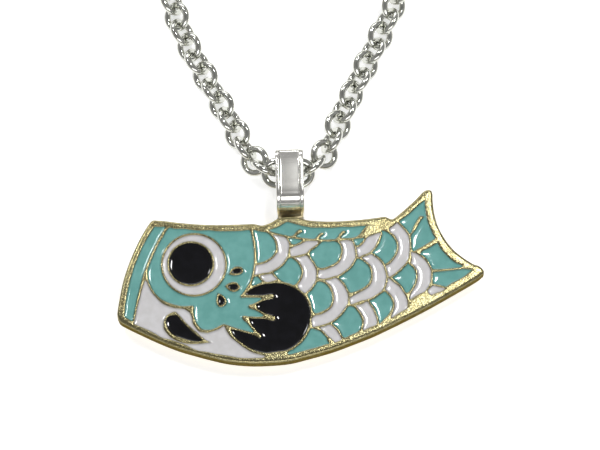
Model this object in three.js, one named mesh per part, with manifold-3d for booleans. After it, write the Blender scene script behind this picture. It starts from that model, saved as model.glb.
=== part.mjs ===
// Carp pendant necklace: a die-struck brass carp with soft enamel cells, glued to a bail that
// hangs on a rolo chain with a lobster clasp.
// Millimetres, +Z up. The pendant lies face up on z = 0, its length along X, the bail towards +Y.
import * as THREE from 'three';
import { mergeVertices } from 'three/addons/utils/BufferGeometryUtils.js';
import Module from 'manifold-3d';

// ---- driving dimensions ----
const PLATE_BACK = 1.0;        // underside of the brass carp
const PLATE_FACE = 2.8;        // tops of its raised lines
const CELL_FLOOR = 2.25;       // floor of the enamel cells
const ENAMEL_TOP = 2.68;       // enamel stands a little below the lines
const ENAMEL_GAP = 0.03;       // between enamel and brass
const BAIL_W = 3.3;            // strap width
const BAIL_T = 0.8;            // strap thickness
const BAIL_TOP = 12.955;       // far end of the loop
const BAIL_FOOT = 5.22;        // loop's near end, clear of the plate's upper edge
const BAIL_H = 5.35;           // loop height over the table
const PAD_END = -6.0;          // the strap's glued end under the plate
const BAIL_X = -1.2, BAIL_Y = 5.0, BAIL_LEAN = 1.6; // place and lean of the bail, degrees
const GLUE_Z0 = 0.82, GLUE_Z1 = 0.98;
const LINK_R = 1.45, LINK_WIRE = 0.38;   // rolo link: centreline radius and wire radius
const LINK_AT = [-0.85, 10.25, 2.675];      // the link held in the bail
const CHAIN_D = 2.75;          // chain's body across its crossed links
const CHAIN_Z = 1.44;          // its axis when it lies on the table
const COIL_C = [-1.1, 53.5];   // the wound length of chain
const COIL_RI = 10.5, COIL_RO = 19.05, COIL_H = 5.62;
const CLASP_AT = [-2.6, 47.45], CLASP_TURN = 125; // tail eye of the clasp, heading in degrees
const CLASP_Z0 = 0.1, CLASP_Z1 = 2.3;

const OUTLINE = [-21.3,-7.67,-21.01,-8.02,-19.58,-8.81,-15.12,-10.86,-12.05,-11.86,-8.76,-12.68,-6.92,-12.92,-4.56,-12.98,-1.75,-12.78,0.12,-12.38,3.71,-11.33,8.81,-9.27,12.75,-7.29,16.56,-5.16,20.47,-2.81,21.41,-2.1,21.46,-1.86,21.31,-1.53,21.02,-1.25,19.92,-0.73,18.25,0.5,17.51,1.29,16.95,2.09,16.29,3.3,15.97,4.12,15.64,5.69,15.51,7.71,15.35,8.11,15.1,8.22,14.8,8.2,14.45,7.99,11.96,5.55,11.2,4.88,10.7,4.6,9.78,4.91,6.36,4.48,2.83,4.33,1.07,4.44,-0.54,4.84,-1.4,4.89,-2.52,4.72,-3.77,4.08,-4.62,3.83,-5.71,4.02,-9.21,3.89,-11.62,3.94,-17.27,4.46,-17.69,4.22,-18.23,3.41,-19.12,1.67,-20.04,-0.54,-20.91,-3.47,-21.35,-5.94,-21.46,-7.18];

// Raised rims that stand inside a larger cell.
const RIMS = {
  eye_rim: [-8.62,-1.04,-8.7,-0.26,-8.88,0.38,-9.23,1.08,-9.72,1.69,-10.32,2.2,-11.01,2.57,-11.75,2.8,-12.54,2.88,-13.31,2.8,-14.06,2.57,-14.74,2.2,-15.34,1.69,-15.83,1.08,-16.19,0.38,-16.38,-0.26,-16.46,-1.04,-16.38,-1.82,-16.15,-2.56,-15.78,-3.25,-15.26,-3.85,-14.65,-4.34,-13.96,-4.69,-13.21,-4.9,-12.54,-4.96,-11.75,-4.88,-11.01,-4.65,-10.32,-4.27,-9.72,-3.77,-9.23,-3.16,-8.88,-2.46,-8.7,-1.82],
  pupil_rim: [-10.12,-0.92,-10.17,-0.33,-10.36,0.22,-10.59,0.65,-10.96,1.1,-11.42,1.46,-11.87,1.68,-12.33,1.82,-12.91,1.89,-13.49,1.82,-14.05,1.64,-14.47,1.41,-14.92,1.03,-15.29,0.57,-15.5,0.13,-15.67,-0.43,-15.71,-0.92,-15.65,-1.5,-15.5,-1.96,-15.29,-2.4,-14.92,-2.86,-14.47,-3.24,-14.05,-3.47,-13.49,-3.65,-12.91,-3.71,-12.42,-3.67,-11.87,-3.51,-11.34,-3.24,-10.89,-2.86,-10.54,-2.4,-10.31,-1.96,-10.15,-1.4],
  spot_rim_a: [-7.88,-2.36,-7.3,-2.29,-6.86,-2.06,-6.72,-1.81,-6.73,-1.62,-6.89,-1.4,-7.14,-1.28,-7.67,-1.28,-8.11,-1.59,-8.47,-2.21],
  spot_rim_b: [-8.47,-4.15,-7.96,-4.38,-7.4,-4.27,-7.19,-4.12,-7.1,-3.92,-7.11,-3.69,-7.24,-3.47,-7.53,-3.25,-7.81,-3.16,-8.4,-3.29,-8.91,-3.64],
  spot_rim_c: [-9.94,-5.24,-9.88,-5.86,-9.71,-6.08,-9.5,-6.2,-9.01,-6.15,-8.79,-6.01,-8.66,-5.81,-8.62,-5.57,-8.7,-5.28,-9.12,-4.78,-9.76,-4.46],
  mouth_rim: [-11.48,-9.85,-12.22,-9.21,-14.56,-6.77,-14.89,-6.72,-15.33,-6.87,-15.71,-7.11,-15.89,-7.37,-16.16,-8.18,-16.08,-8.94,-15.63,-9.55,-14.92,-10.08,-13.83,-10.54,-12.47,-10.77,-11.44,-10.74,-10.5,-10.49],
};

// Every enamel cell: colour, outline and the rims it runs around.
const CELLS = [
  ["teal_mouth_band", "teal", [-17.12,3.65,-17.25,3.57,-18.48,1.4,-19.49,-1.14,-20.27,-4.21,-20.62,-7.19,-20.59,-7.36,-20.46,-7.47,-19.74,-7.82,-19.29,-5.22,-18.48,-1.87,-17.62,0.43,-16.74,2.3,-16.03,3.55], []],
  ["teal_head", "teal", [-6.89,-5.14,-7.05,-5.09,-7.14,-4.96,-7.09,-4.72,-6.11,-3.17,-5.88,-2.43,-5.67,-1.32,-5.59,-0.27,-5.64,0.95,-5.9,2.58,-6.07,3.12,-6.43,3.18,-8.07,3.09,-10.98,3.1,-13.39,3.24,-15.28,3.45,-15.53,3.32,-16.71,1.23,-17.55,-0.82,-17.85,-1.86,-17.8,-2.69,-17.5,-3.61,-17.11,-4.29,-16.35,-5.09,-15.5,-5.55,-14.57,-5.87,-13.94,-5.99,-12.72,-6.01,-12.57,-6.08,-12.47,-6.27,-12.4,-7.06,-12.19,-7.87,-11.79,-8.53,-11.38,-8.83,-10.48,-8.84,-9.31,-8.3,-8.96,-8.24,-5.61,-9.22,-6.73,-7.86,-6.88,-7.43,-6.79,-7.29,-6.6,-7.22,-5.31,-7.29,-4.47,-7.25,-5.98,-6.4,-6.13,-6.18,-5.99,-5.88,-5.23,-5.53,-4.69,-5.18], ["eye_rim", "spot_rim_a", "spot_rim_b", "spot_rim_c"]],
  ["teal_scale_a", "teal", [-4.26,-0.54,-3.46,0.03,-3.08,0.69,-3.04,1.31,-3.29,2.07,-3.83,2.66,-4.46,2.96,-5.5,3.14,-5.14,1.12,-5.06,-0.74], []],
  ["teal_scale_b", "teal", [-2.6,-2.6,-2.22,-2.91,-0.88,-3.41,-0.59,-3.29,-0.35,-3,-0.1,-2.43,0.01,-1.99,-0.11,-1.48,-0.38,-0.94,-0.73,-0.58,-1.22,-0.29,-1.49,-0.44,-2.08,-1.2,-3.1,-1.97], []],
  ["teal_scale_c", "teal", [2.75,1.73,2.52,1.67,1.2,0.49,1.2,-0.07,1.93,-1.18,2.38,-1.34,2.86,-1.28,3.69,-0.91,4.29,-0.4,4.57,0.36,4.58,1.03,4.36,1.49,3.92,1.73], []],
  ["teal_scale_d", "teal", [10.53,-0.3,10.91,0.19,11.12,0.69,11.17,1.22,11,1.86,10.64,2.35,10.26,2.73,9.55,3.11,9.62,2.57,9.34,1.65,9.02,1.1,8.47,0.46,9.38,-0.15,9.88,-0.87], []],
  ["teal_scale_e", "teal", [5.23,-3.29,5.75,-4.28,5.96,-4.33,7.11,-3.84,7.78,-3.32,8.1,-2.74,8.12,-1.98,7.98,-1.49,7.68,-1.04,7.15,-0.55,6.72,-0.39,6.58,-0.51,5.97,-1.55,5.31,-2.09,4.53,-2.6], []],
  ["teal_scale_f", "teal", [11.74,-3.38,12.13,-3.92,12.27,-4.32,12.42,-4.38,12.83,-4,13.18,-3.42,13.42,-2.78,13.45,-2.18,13.18,-1.56,12.54,-0.94,12.37,-1.19,11.95,-1.54,11.85,-1.79,10.86,-2.6], []],
  ["teal_scale_g", "teal", [1.34,-4.21,0.91,-4.64,1.3,-5.77,1.49,-6.61,1.6,-6.8,1.77,-6.87,2.5,-6.61,3.21,-6.15,3.46,-5.73,3.55,-5.24,3.46,-4.49,3.13,-3.83,2.6,-3.33,2.25,-3.19,2.02,-3.2], []],
  ["teal_scale_h", "teal", [8.74,-5.22,8.14,-5.49,8.75,-6.42,9.12,-7.41,9.21,-8.09,10.1,-7.14,10.44,-6.57,10.62,-6.03,10.62,-5.65,10.52,-5.37,10.28,-4.94,9.81,-4.38], []],
  ["teal_scale_i", "teal", [4.39,-8.71,4.7,-9.13,5,-9.79,5.21,-9.85,6.29,-9.41,6.57,-9.22,6.94,-8.6,7.03,-7.94,6.86,-7.37,6.47,-6.69,6.11,-6.3,5.7,-6.17,5.53,-6.25,4.81,-7.27,3.77,-8.21], []],
  ["teal_scale_j", "teal", [3,-10.34,2.86,-9.94,2.25,-9.29,1.28,-8.93,0.59,-10.08,0.2,-10.6,-0.67,-11.35,-1.26,-11.65,-1.49,-11.86,-1.04,-11.85,-0.03,-11.64,2.23,-11,3.21,-10.61], []],
  ["teal_chip_a", "teal", [-5.08,-2.6,-5.27,-2.56,-5.47,-2.82,-5.67,-3.49,-4.62,-3.09], []],
  ["teal_chip_b", "teal", [-1.35,2.14,-1.07,1.64,-0.86,1.53,-0.55,1.59,0.04,1.92], []],
  ["teal_chip_c", "teal", [6.29,1.98,6.48,1.47,6.61,1.4,6.79,1.46,7.39,2.17], []],
  ["teal_dorsal", "teal", [3.44,3.51,1.47,3.53,0.56,3.66,-1.6,4.21,-2.65,3.62,-3.62,3.19,-2.6,2.86,-1.19,2.59,-0.93,2.68,-0.29,3.23,-0.06,3.3,0.23,3.05,-0.46,2.48,1.42,2.24,1.68,2.33,2.19,2.79,2.5,2.89,2.75,2.84,2.27,2.21,2.82,2.15,3.81,2.19,4.17,2.32,4.73,2.96,5.01,3.15,5.33,3.02,4.78,2.35,5.67,2.35,6.42,2.48,6.92,2.85,7.68,3.75], []],
  ["teal_tail_a", "teal", [12.84,2.86,13.93,4.85,14.09,4.93,14.49,4.87,14,4.21,13.04,2.46,13.04,1.09,13.27,0.75,14.3,1.32,15.74,2.24,15.1,3.74,14.87,4.49,14.63,5.81,14.56,6.86,14,6.44,11.68,4.29], []],
  ["teal_tail_b", "teal", [14.39,0.09,14.67,-0.18,15.49,-1.49,17.83,-1.38,18.85,-1.22,18.14,-0.81,17.41,-0.2,16.54,0.79,16.04,1.58,15.03,0.93,14.41,0.63,14.06,0.18], []],
  ["teal_tail_c", "teal", [15.5,-2.64,15.55,-3.26,16.95,-3.69,18.97,-2.57,20.07,-1.65,18.7,-1.67,15.55,-2.06], []],
  ["black_pupil", "black", [-10.39,-0.92,-10.58,0.05,-11.13,0.87,-11.95,1.41,-12.91,1.6,-13.88,1.41,-14.7,0.87,-15.24,0.05,-15.44,-0.92,-15.24,-1.88,-14.7,-2.7,-13.88,-3.24,-12.91,-3.44,-11.95,-3.24,-11.13,-2.7,-10.58,-1.88], []],
  ["black_spot_a", "black", [-7.38,-2.07,-7.04,-1.94,-6.96,-1.74,-7.22,-1.52,-7.53,-1.5,-7.89,-1.69,-8.2,-2.04], []],
  ["black_spot_b", "black", [-8.25,-3.95,-7.88,-4.09,-7.56,-4.01,-7.39,-3.79,-7.47,-3.53,-7.81,-3.39,-8.21,-3.46,-8.56,-3.69], []],
  ["black_spot_c", "black", [-9.59,-5.64,-9.45,-5.96,-9.09,-5.82,-8.96,-5.49,-9.15,-5.08,-9.56,-4.79], []],
  ["black_mouth", "black", [-12.78,-9.24,-13.82,-8.21,-14.49,-7.35,-15.08,-7.32,-15.32,-7.43,-15.55,-7.66,-15.65,-8.06,-15.49,-8.63,-15.17,-9.13,-14.71,-9.52,-14.14,-9.78,-12.76,-10.2,-12.14,-10.29,-11.5,-10.23], []],
  ["black_fin", "black", [-7.75,-9.59,-7.35,-10.04,-6.38,-10.79,-5.35,-11.35,-4.47,-11.61,-3.65,-11.72,-2.94,-11.67,-2.02,-11.46,-1.41,-11.2,-0.69,-10.74,-0.01,-10.03,0.41,-9.4,0.84,-8.34,1.01,-7.33,1.01,-6.78,0.82,-5.97,0.49,-5.24,0.08,-4.72,-0.57,-4.15,-1.43,-3.71,-2.43,-3.42,-3.08,-3.38,-4.05,-3.47,-4.85,-3.68,-5.67,-4.07,-6.38,-4.63,-3.5,-4.65,-3.17,-4.72,-3.12,-4.94,-3.22,-5.11,-5.13,-5.94,-4.88,-6.41,-3.08,-7.36,-2.95,-7.51,-2.96,-7.71,-3.08,-7.82,-3.29,-7.85,-5.94,-7.66,-5.74,-8.2,-4.65,-9.56,-4.6,-9.81,-4.74,-9.95,-8.05,-9.02], []],
  ["white_band_a", "white", [-2.93,2.26,-2.73,1.82,-2.58,0.78,-2.64,0.48,-3.17,-0.21,-3.66,-0.63,-4.06,-0.85,-5.23,-1.22,-5.33,-2.16,-3.77,-1.87,-2.83,-1.4,-2.29,-0.96,-1.69,0.01,-1.48,0.98,-1.5,1.51,-1.61,1.92,-1.97,2.25,-3.19,2.58], []],
  ["white_band_b", "white", [-4.43,-2.82,-4.04,-3.04,-3.62,-3,-2.93,-2.79,-3.48,-2.21,-4.68,-2.44], []],
  ["white_band_c", "white", [-1.2,0.47,-1.1,0.07,-0.21,0.21,0.56,0.47,1,0.94,1.73,1.44,1.92,1.75,0.71,1.76,-1.15,0.9], []],
  ["white_band_d", "white", [-0.1,-0.68,0.2,-1.23,0.34,-1.7,0.21,-2.65,-0.28,-3.64,0.04,-4.06,0.49,-4.39,1.07,-3.87,1.54,-3.16,1.73,-2.42,1.66,-1.69,1.32,-0.84,0.7,-0.05,0.47,0.01,-0.03,-0.15,-0.6,-0.18], []],
  ["white_band_e", "white", [4.96,1.35,5.04,0.76,4.93,-0.03,4.67,-0.64,4.33,-1.02,3.96,-1.26,2.96,-1.66,2.21,-1.79,2.06,-2.52,2.54,-2.65,3,-2.63,4.5,-2.16,5.38,-1.47,6.01,-0.73,6.27,-0.16,6.32,0.51,6.22,1.09,5.89,1.78,5.33,1.87,4.7,1.75], []],
  ["white_band_f", "white", [6.62,0.52,6.85,0.01,7.98,0.56,8.56,1.17,9.33,2.81,8.64,2.65,8.04,2.38,7.72,2.1,7.12,1.28,6.6,1.06], []],
  ["white_band_g", "white", [10.62,3.03,11.04,2.72,11.33,2.29,11.51,1.8,11.56,1.18,11.36,0.29,10.79,-0.64,10.54,-0.95,9.99,-1.22,10.36,-2.46,11.49,-1.62,12.27,-0.79,12.6,0.14,12.72,1.29,12.67,2.04,12.43,2.68,12.05,3.21,11.3,4,10.47,3.37], []],
  ["white_band_h", "white", [7.98,-0.79,8.35,-1.25,8.5,-2.18,8.43,-2.95,8.2,-3.56,7.91,-3.88,5.78,-5.18,5.89,-5.78,6.95,-5.35,7.83,-5.13,8.72,-4.66,9.47,-4.06,9.71,-3.7,9.87,-3.27,9.94,-2.64,9.81,-1.87,9.59,-1.25,9.21,-0.69,8.21,0.18,7.27,-0.19], []],
  ["white_band_i", "white", [3.5,-3.43,3.8,-4.01,3.98,-4.95,3.9,-5.72,3.65,-6.33,3.25,-6.71,2.54,-7.13,1.73,-7.35,1.32,-7.69,1.45,-8.52,2.84,-8.16,3.9,-7.64,4.7,-6.81,5.22,-6.1,5.38,-5.73,5.47,-5.1,5.37,-4.64,5.03,-3.86,4.48,-3.05,4.04,-2.72,3.5,-2.9,2.96,-2.98], []],
  ["white_band_j", "white", [13.12,-0.25,12.96,-0.82,13.34,-1.13,13.54,-1.46,13.69,-2.02,13.71,-2.48,13.53,-3.49,13.03,-4.49,12.83,-5.18,14.18,-4.41,14.59,-4.09,15.03,-3.26,15.2,-2.33,15.05,-1.4,14.68,-0.69,13.99,-0,12.96,0.44], []],
  ["white_band_k", "white", [9.93,-4.03,10.44,-4.45,10.81,-4.92,11,-5.34,11.09,-5.86,10.99,-6.58,10.62,-7.41,12.38,-6.41,12.44,-6.03,12.16,-4.96,11.83,-4.28,11.33,-3.68,10.27,-2.76], []],
  ["white_band_l", "white", [7.07,-6.76,7.43,-7.44,7.48,-7.88,7.36,-8.94,8.77,-8.28,8.78,-7.74,8.53,-6.95,8.22,-6.33,7.7,-5.61,7.17,-5.95,6.56,-6.09], []],
  ["white_band_m", "white", [2.75,-9.11,4,-10.48,4.66,-10.14,4.08,-9.11,3.5,-8.5,3.29,-8.46,2.31,-8.75], []],
  ["white_chip", "white", [15.09,-4,14.94,-4.23,15.29,-4.72,16.85,-3.96,15.47,-3.66], []],
  ["white_jaw", "white", [-18.96,-6.03,-19.41,-8.21,-16.41,-9.74,-11.63,-11.49,-9.95,-11.88,-7.15,-12.37,-5.53,-12.4,-4.29,-12.22,-5.61,-11.85,-6.82,-11.13,-8.25,-9.95,-9,-8.61,-9.62,-9.01,-10.71,-9.42,-11.33,-9.4,-11.97,-9.14,-12.71,-8.18,-13.08,-6.92,-13.8,-6.53,-15.53,-6.21,-16.34,-5.78,-17.42,-4.63,-18.21,-3.07], ["mouth_rim"]],
  ["white_eye", "white", [-8.9,-1.04,-8.97,-0.36,-9.21,0.4,-9.54,1,-9.97,1.53,-10.49,1.96,-11.09,2.29,-11.74,2.5,-12.54,2.59,-13.21,2.53,-13.97,2.29,-14.57,1.96,-15.11,1.53,-15.54,1,-15.87,0.4,-16.08,-0.25,-16.17,-1.04,-16.08,-1.83,-15.87,-2.48,-15.54,-3.08,-15.11,-3.61,-14.57,-4.04,-13.97,-4.37,-13.21,-4.6,-12.54,-4.67,-11.86,-4.6,-11.21,-4.41,-10.49,-4.04,-9.96,-3.6,-9.54,-3.08,-9.16,-2.37,-8.97,-1.72], ["pupil_rim"]],
];

const wasm = await Module();
wasm.setup();

// ---- helpers ----
function clean(g) {
  g = g.clone();
  g.deleteAttribute('normal');
  g.deleteAttribute('uv');
  return mergeVertices(g, 1e-4);
}
function solid(g) {
  const m = clean(g);
  return new wasm.Manifold(new wasm.Mesh({
    numProp: 3,
    vertProperties: new Float32Array(m.attributes.position.array),
    triVerts: new Uint32Array(m.index.array),
  }));
}
function geometry(s) {
  const m = s.getMesh();
  const g = new THREE.BufferGeometry();
  const n = m.vertProperties.length / m.numProp;
  const p = new Float32Array(n * 3);
  for (let i = 0; i < n; i++) for (let k = 0; k < 3; k++) p[3 * i + k] = m.vertProperties[m.numProp * i + k];
  g.setAttribute('position', new THREE.BufferAttribute(p, 3));
  g.setIndex(new THREE.BufferAttribute(new Uint32Array(m.triVerts), 1));
  return g;
}
function pairs(a) {
  const v = [];
  for (let i = 0; i < a.length; i += 2) v.push(new THREE.Vector2(a[i], a[i + 1]));
  return v;
}
// Moves each side of a closed outline inwards by d, outwards when d is negative.
function inset(v, d) {
  const n = v.length;
  return v.map((p, i) => {
    const a = v[(i + n - 1) % n], b = v[(i + 1) % n];
    const u = p.clone().sub(a).normalize(), w = b.clone().sub(p).normalize();
    const nu = new THREE.Vector2(-u.y, u.x), nw = new THREE.Vector2(-w.y, w.x);
    const m = nu.clone().add(nw);
    const s = Math.max(m.lengthSq() / 2, 0.18);
    return p.clone().add(m.multiplyScalar(d / s));
  });
}
function prism(outer, holes, z0, z1) {
  const shape = new THREE.Shape(outer);
  for (const h of holes) shape.holes.push(new THREE.Path(h));
  const g = new THREE.ExtrudeGeometry(shape, { depth: z1 - z0, bevelEnabled: false, steps: 1, curveSegments: 5 });
  g.translate(0, 0, z0);
  return g;
}
function box(x0, x1, y0, y1, z0, z1) {
  const g = new THREE.BoxGeometry(x1 - x0, y1 - y0, z1 - z0);
  g.translate((x0 + x1) / 2, (y0 + y1) / 2, (z0 + z1) / 2);
  return g;
}
function cylinder(x, y, z0, z1, r, n = 16) {
  const g = new THREE.CylinderGeometry(r, r, z1 - z0, n);
  g.rotateX(Math.PI / 2);
  g.translate(x, y, (z0 + z1) / 2);
  return g;
}
// A round tube along a smooth line through the points.
function tube(points, d, steps) {
  const section = new THREE.Shape();
  for (let i = 0; i < 8; i++) {
    const a = (i + 0.5) * Math.PI / 4, r = d / 2;
    if (i === 0) section.moveTo(r * Math.cos(a), r * Math.sin(a));
    else section.lineTo(r * Math.cos(a), r * Math.sin(a));
  }
  const path = new THREE.CatmullRomCurve3(points.map((p) => new THREE.Vector3(...p)), false, 'centripetal');
  return new THREE.ExtrudeGeometry(section, { steps, bevelEnabled: false, extrudePath: path });
}

const METALS = {
  brass: { color: 0x9b8f5c, roughness: 0.42, metalness: 1 },
  silver: { color: 0xc9c7c2, roughness: 0.18, metalness: 1 },
};
const ENAMELS = {
  teal: { color: 0x63a89e, roughness: 0.12, metalness: 0 },
  white: { color: 0xe2e0df, roughness: 0.12, metalness: 0 },
  black: { color: 0x141418, roughness: 0.1, metalness: 0 },
};
const object = new THREE.Group();
function add(name, g, look, parent = object) {
  const mesh = new THREE.Mesh(g, new THREE.MeshStandardMaterial(look));
  mesh.name = name;
  parent.add(mesh);
  return mesh;
}

// ---- brass carp with its cells ----
{
  let plate = solid(prism(pairs(OUTLINE), [], PLATE_BACK, PLATE_FACE));
  for (const [, , pts, rims] of CELLS) {
    const cut = prism(pairs(pts), rims.map((r) => pairs(RIMS[r])), CELL_FLOOR, PLATE_FACE + 0.5);
    plate = plate.subtract(solid(cut));
  }
  add('carp_plate', geometry(plate), METALS.brass);
}
for (const [name, colour, pts, rims] of CELLS) {
  const g = prism(inset(pairs(pts), ENAMEL_GAP), rims.map((r) => inset(pairs(RIMS[r]), -ENAMEL_GAP)), CELL_FLOOR + 0.02, ENAMEL_TOP);
  add('enamel_' + name, g, ENAMELS[colour]);
}

// ---- bail, glued behind the plate ----
const bailGroup = new THREE.Group();
bailGroup.position.set(BAIL_X, BAIL_Y, 0);
bailGroup.rotation.z = THREE.MathUtils.degToRad(BAIL_LEAN);
object.add(bailGroup);
{
  const top = BAIL_TOP - BAIL_Y, foot = BAIL_FOOT - BAIL_Y, pad = PAD_END - BAIL_Y, t = BAIL_T, h = BAIL_H;
  const s = new THREE.Shape();
  s.moveTo(pad, 0);
  s.lineTo(top - 2.0, 0);
  s.quadraticCurveTo(top, 0, top, 2.0);
  s.lineTo(top, h - 1.8);
  s.quadraticCurveTo(top, h, top - 1.8, h);
  s.lineTo(foot + 2.2, h);
  s.bezierCurveTo(foot + 0.7, h, foot + 0.1, 3.6, foot, t);
  s.lineTo(pad, t);
  s.closePath();
  const hole = new THREE.Path();
  hole.moveTo(foot + 1.7, t);
  hole.lineTo(top - 1.95, t);
  hole.quadraticCurveTo(top - t, t, top - t, 2.0);
  hole.lineTo(top - t, h - 1.9);
  hole.quadraticCurveTo(top - t, h - t, top - 1.9, h - t);
  hole.lineTo(foot + 2.4, h - t);
  hole.bezierCurveTo(foot + 1.4, h - t, foot + 1.0, 3.4, foot + 0.9, 1.6);
  hole.quadraticCurveTo(foot + 0.88, t, foot + 1.7, t);
  s.holes.push(hole);
  const g = new THREE.ExtrudeGeometry(s, { depth: BAIL_W, bevelEnabled: false, steps: 1, curveSegments: 5 });
  // section (x, y) becomes (y, z) and the extrusion runs along x
  g.applyMatrix4(new THREE.Matrix4().set(0, 0, 1, -BAIL_W / 2, 1, 0, 0, 0, 0, 1, 0, 0, 0, 0, 0, 1));
  const panel = box(-1.12, 1.12, 6.95 - BAIL_Y, 12.0 - BAIL_Y, BAIL_H - 0.22, BAIL_H + 1);
  add('bail', geometry(solid(g).subtract(solid(panel))), METALS.silver, bailGroup);
  add('bail_adhesive', box(-1.45, 1.45, PAD_END + 0.3 - BAIL_Y, 4.55 - BAIL_Y, GLUE_Z0, GLUE_Z1),
    { color: 0xd9d4c4, roughness: 0.4, metalness: 0 }, bailGroup);
}

// ---- chain ----
function link(name, at, R, r, turn, tilt, look = METALS.silver) {
  const g = new THREE.TorusGeometry(R, r, 8, 20);
  const m = add(name, clean(g), look);
  m.position.set(...at);
  m.rotation.set(THREE.MathUtils.degToRad(tilt), 0, THREE.MathUtils.degToRad(turn), 'ZYX');
  return m;
}
link('bail_link', LINK_AT, LINK_R, LINK_WIRE, 0, -65);

const RUN_LEFT = [[-3.5, 10.55, 2.5], [-4.5, 11.25, 2.15], [-5.4, 12.2, 1.8], [-6.35, 13.7, 1.55], [-7.75, 16.0, CHAIN_Z], [-9.5, 19.3, CHAIN_Z],
  [-11.45, 22.9, CHAIN_Z], [-13.66, 27.2, CHAIN_Z], [-15.5, 32.0, CHAIN_Z], [-16.9, 36.5, CHAIN_Z], [-17.5, 40.2, CHAIN_Z]];
const RUN_RIGHT = [[1.5, 10.95, 2.5], [1.85, 11.75, 2.15], [2.35, 12.9, 1.8], [3.25, 14.4, 1.55], [4.65, 16.8, CHAIN_Z], [6.4, 20.6, CHAIN_Z],
  [8.1, 24.7, CHAIN_Z], [9.8, 28.7, CHAIN_Z], [11.3, 32.2, CHAIN_Z], [12.7, 36.5, 1.5], [13.4, 38.6, 1.6]];
add('chain_run_left', clean(tube(RUN_LEFT, CHAIN_D, 14)), METALS.silver);
add('chain_run_right', clean(tube(RUN_RIGHT, CHAIN_D, 14)), METALS.silver);
{
  const p = [[COIL_RI, 0.03], [COIL_RO, 0.03], [COIL_RO, COIL_H], [COIL_RI, COIL_H], [COIL_RI, 0.03]].map(([r, z]) => new THREE.Vector2(r, z));
  const g = new THREE.LatheGeometry(p, 32);
  g.rotateX(Math.PI / 2);
  const m = clean(g);
  // lathe about Y turned to Z
  m.translate(COIL_C[0], COIL_C[1], 0);
  const pos = m.attributes.position;
  let lo = Infinity;
  for (let i = 0; i < pos.count; i++) lo = Math.min(lo, pos.getZ(i));
  m.translate(0, 0, 0.03 - lo);
  add('chain_coil', m, METALS.silver);
}
const at = (x, y) => [COIL_C[0] + x, COIL_C[1] + y];
add('chain_tail_left', clean(tube([[...at(7.5, -4.8), CHAIN_Z], [...at(6.4, -6.2), CHAIN_Z], [...at(4.6, -7.4), CHAIN_Z], [...at(1.7, -7.75), CHAIN_Z]], CHAIN_D, 5)), METALS.silver);
add('chain_tail_right', clean(tube([[...at(7.8, 4.3), 2.6], [...at(6.5, 6.0), 2.0], [...at(4.8, 7.3), 1.6], [...at(2.95, 7.75), CHAIN_Z]], CHAIN_D, 5)), METALS.silver);

// ---- lobster clasp and end ring ----
link('clasp_ring', [...at(-0.84, -6.99), 1.45], 1.15, 0.28, 125, 75);
link('end_ring', [...at(0.2, 7.45), 0.85], 1.95, 0.35, 180, 12);

const clasp = new THREE.Group();
clasp.position.set(CLASP_AT[0], CLASP_AT[1], 0);
clasp.rotation.z = THREE.MathUtils.degToRad(CLASP_TURN);
object.add(clasp);
{
  // Outline along u (towards the hook) and v; the mouth opens on the -v side.
  const body = new THREE.Shape();
  body.moveTo(-1.0, 0.9);
  body.quadraticCurveTo(-1.5, 0, -1.0, -0.9);
  body.lineTo(1.2, -1.5);
  body.lineTo(3.55, -1.95);
  body.lineTo(3.6, -0.75);
  body.lineTo(3.3, -0.2);
  body.quadraticCurveTo(3.5, 1.75, 5.6, 1.8);
  body.quadraticCurveTo(7.6, 1.75, 8.2, 0.1);
  body.quadraticCurveTo(8.25, -0.75, 8.0, -1.45);
  body.lineTo(8.75, -2.1);
  body.quadraticCurveTo(9.75, -1.2, 9.6, 0.2);
  body.quadraticCurveTo(9.0, 2.9, 5.6, 3.05);
  body.quadraticCurveTo(2.6, 2.9, 1.4, 1.7);
  body.closePath();
  const eye = new THREE.Path();
  eye.absarc(0, 0, 0.62, 0, Math.PI * 2, true);
  body.holes.push(eye);
  let s = solid(new THREE.ExtrudeGeometry(body, { depth: CLASP_Z1 - CLASP_Z0, bevelEnabled: false, steps: 1, curveSegments: 6 }).translate(0, 0, CLASP_Z0));
  // thin tail around the eye
  s = s.subtract(solid(box(-2, 0.72, -2, 2, -1, 0.85))).subtract(solid(box(-2, 0.72, -2, 2, 1.55, 5)));
  // slot for the lever's root and the spring, and the rivet's hole
  s = s.subtract(solid(box(1.15, 4.2, -2.6, -0.45, 0.62, 1.78)));
  s = s.subtract(solid(cylinder(2.75, -1.15, -1, 4, 0.36, 16)));
  add('clasp_body', geometry(s), METALS.silver, clasp);

  const lever = new THREE.Shape();
  lever.moveTo(2.1, -1.0);
  lever.lineTo(2.15, -1.75);
  lever.lineTo(1.5, -2.75);
  lever.lineTo(2.2, -2.95);
  lever.lineTo(3.2, -2.2);
  lever.lineTo(6.2, -2.35);
  lever.lineTo(7.62, -2.2);
  lever.lineTo(7.7, -1.45);
  lever.lineTo(5.6, -1.5);
  lever.lineTo(3.9, -1.1);
  lever.lineTo(3.2, -0.62);
  lever.lineTo(2.5, -0.6);
  lever.closePath();
  const bore = new THREE.Path();
  bore.absarc(2.75, -1.15, 0.38, 0, Math.PI * 2, true);
  lever.holes.push(bore);
  add('clasp_lever', clean(new THREE.ExtrudeGeometry(lever, { depth: 0.86, bevelEnabled: false, steps: 1, curveSegments: 6 }).translate(0, 0, 0.77)), METALS.silver, clasp);
  add('clasp_rivet', clean(cylinder(2.75, -1.15, CLASP_Z0 + 0.02, CLASP_Z1 + 0.1, 0.33, 16)), METALS.silver, clasp);
  add('clasp_spring', clean(box(1.35, 1.62, -1.35, -0.55, 0.85, 1.55)), METALS.silver, clasp);
}

export default object;
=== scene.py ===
# Looks of the carp pendant necklace: struck brass, soft enamel, loop bail, rolo chain and clasp.
import bpy, bmesh, math
import numpy as np
from mathutils import Vector, Matrix, geometry


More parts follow.
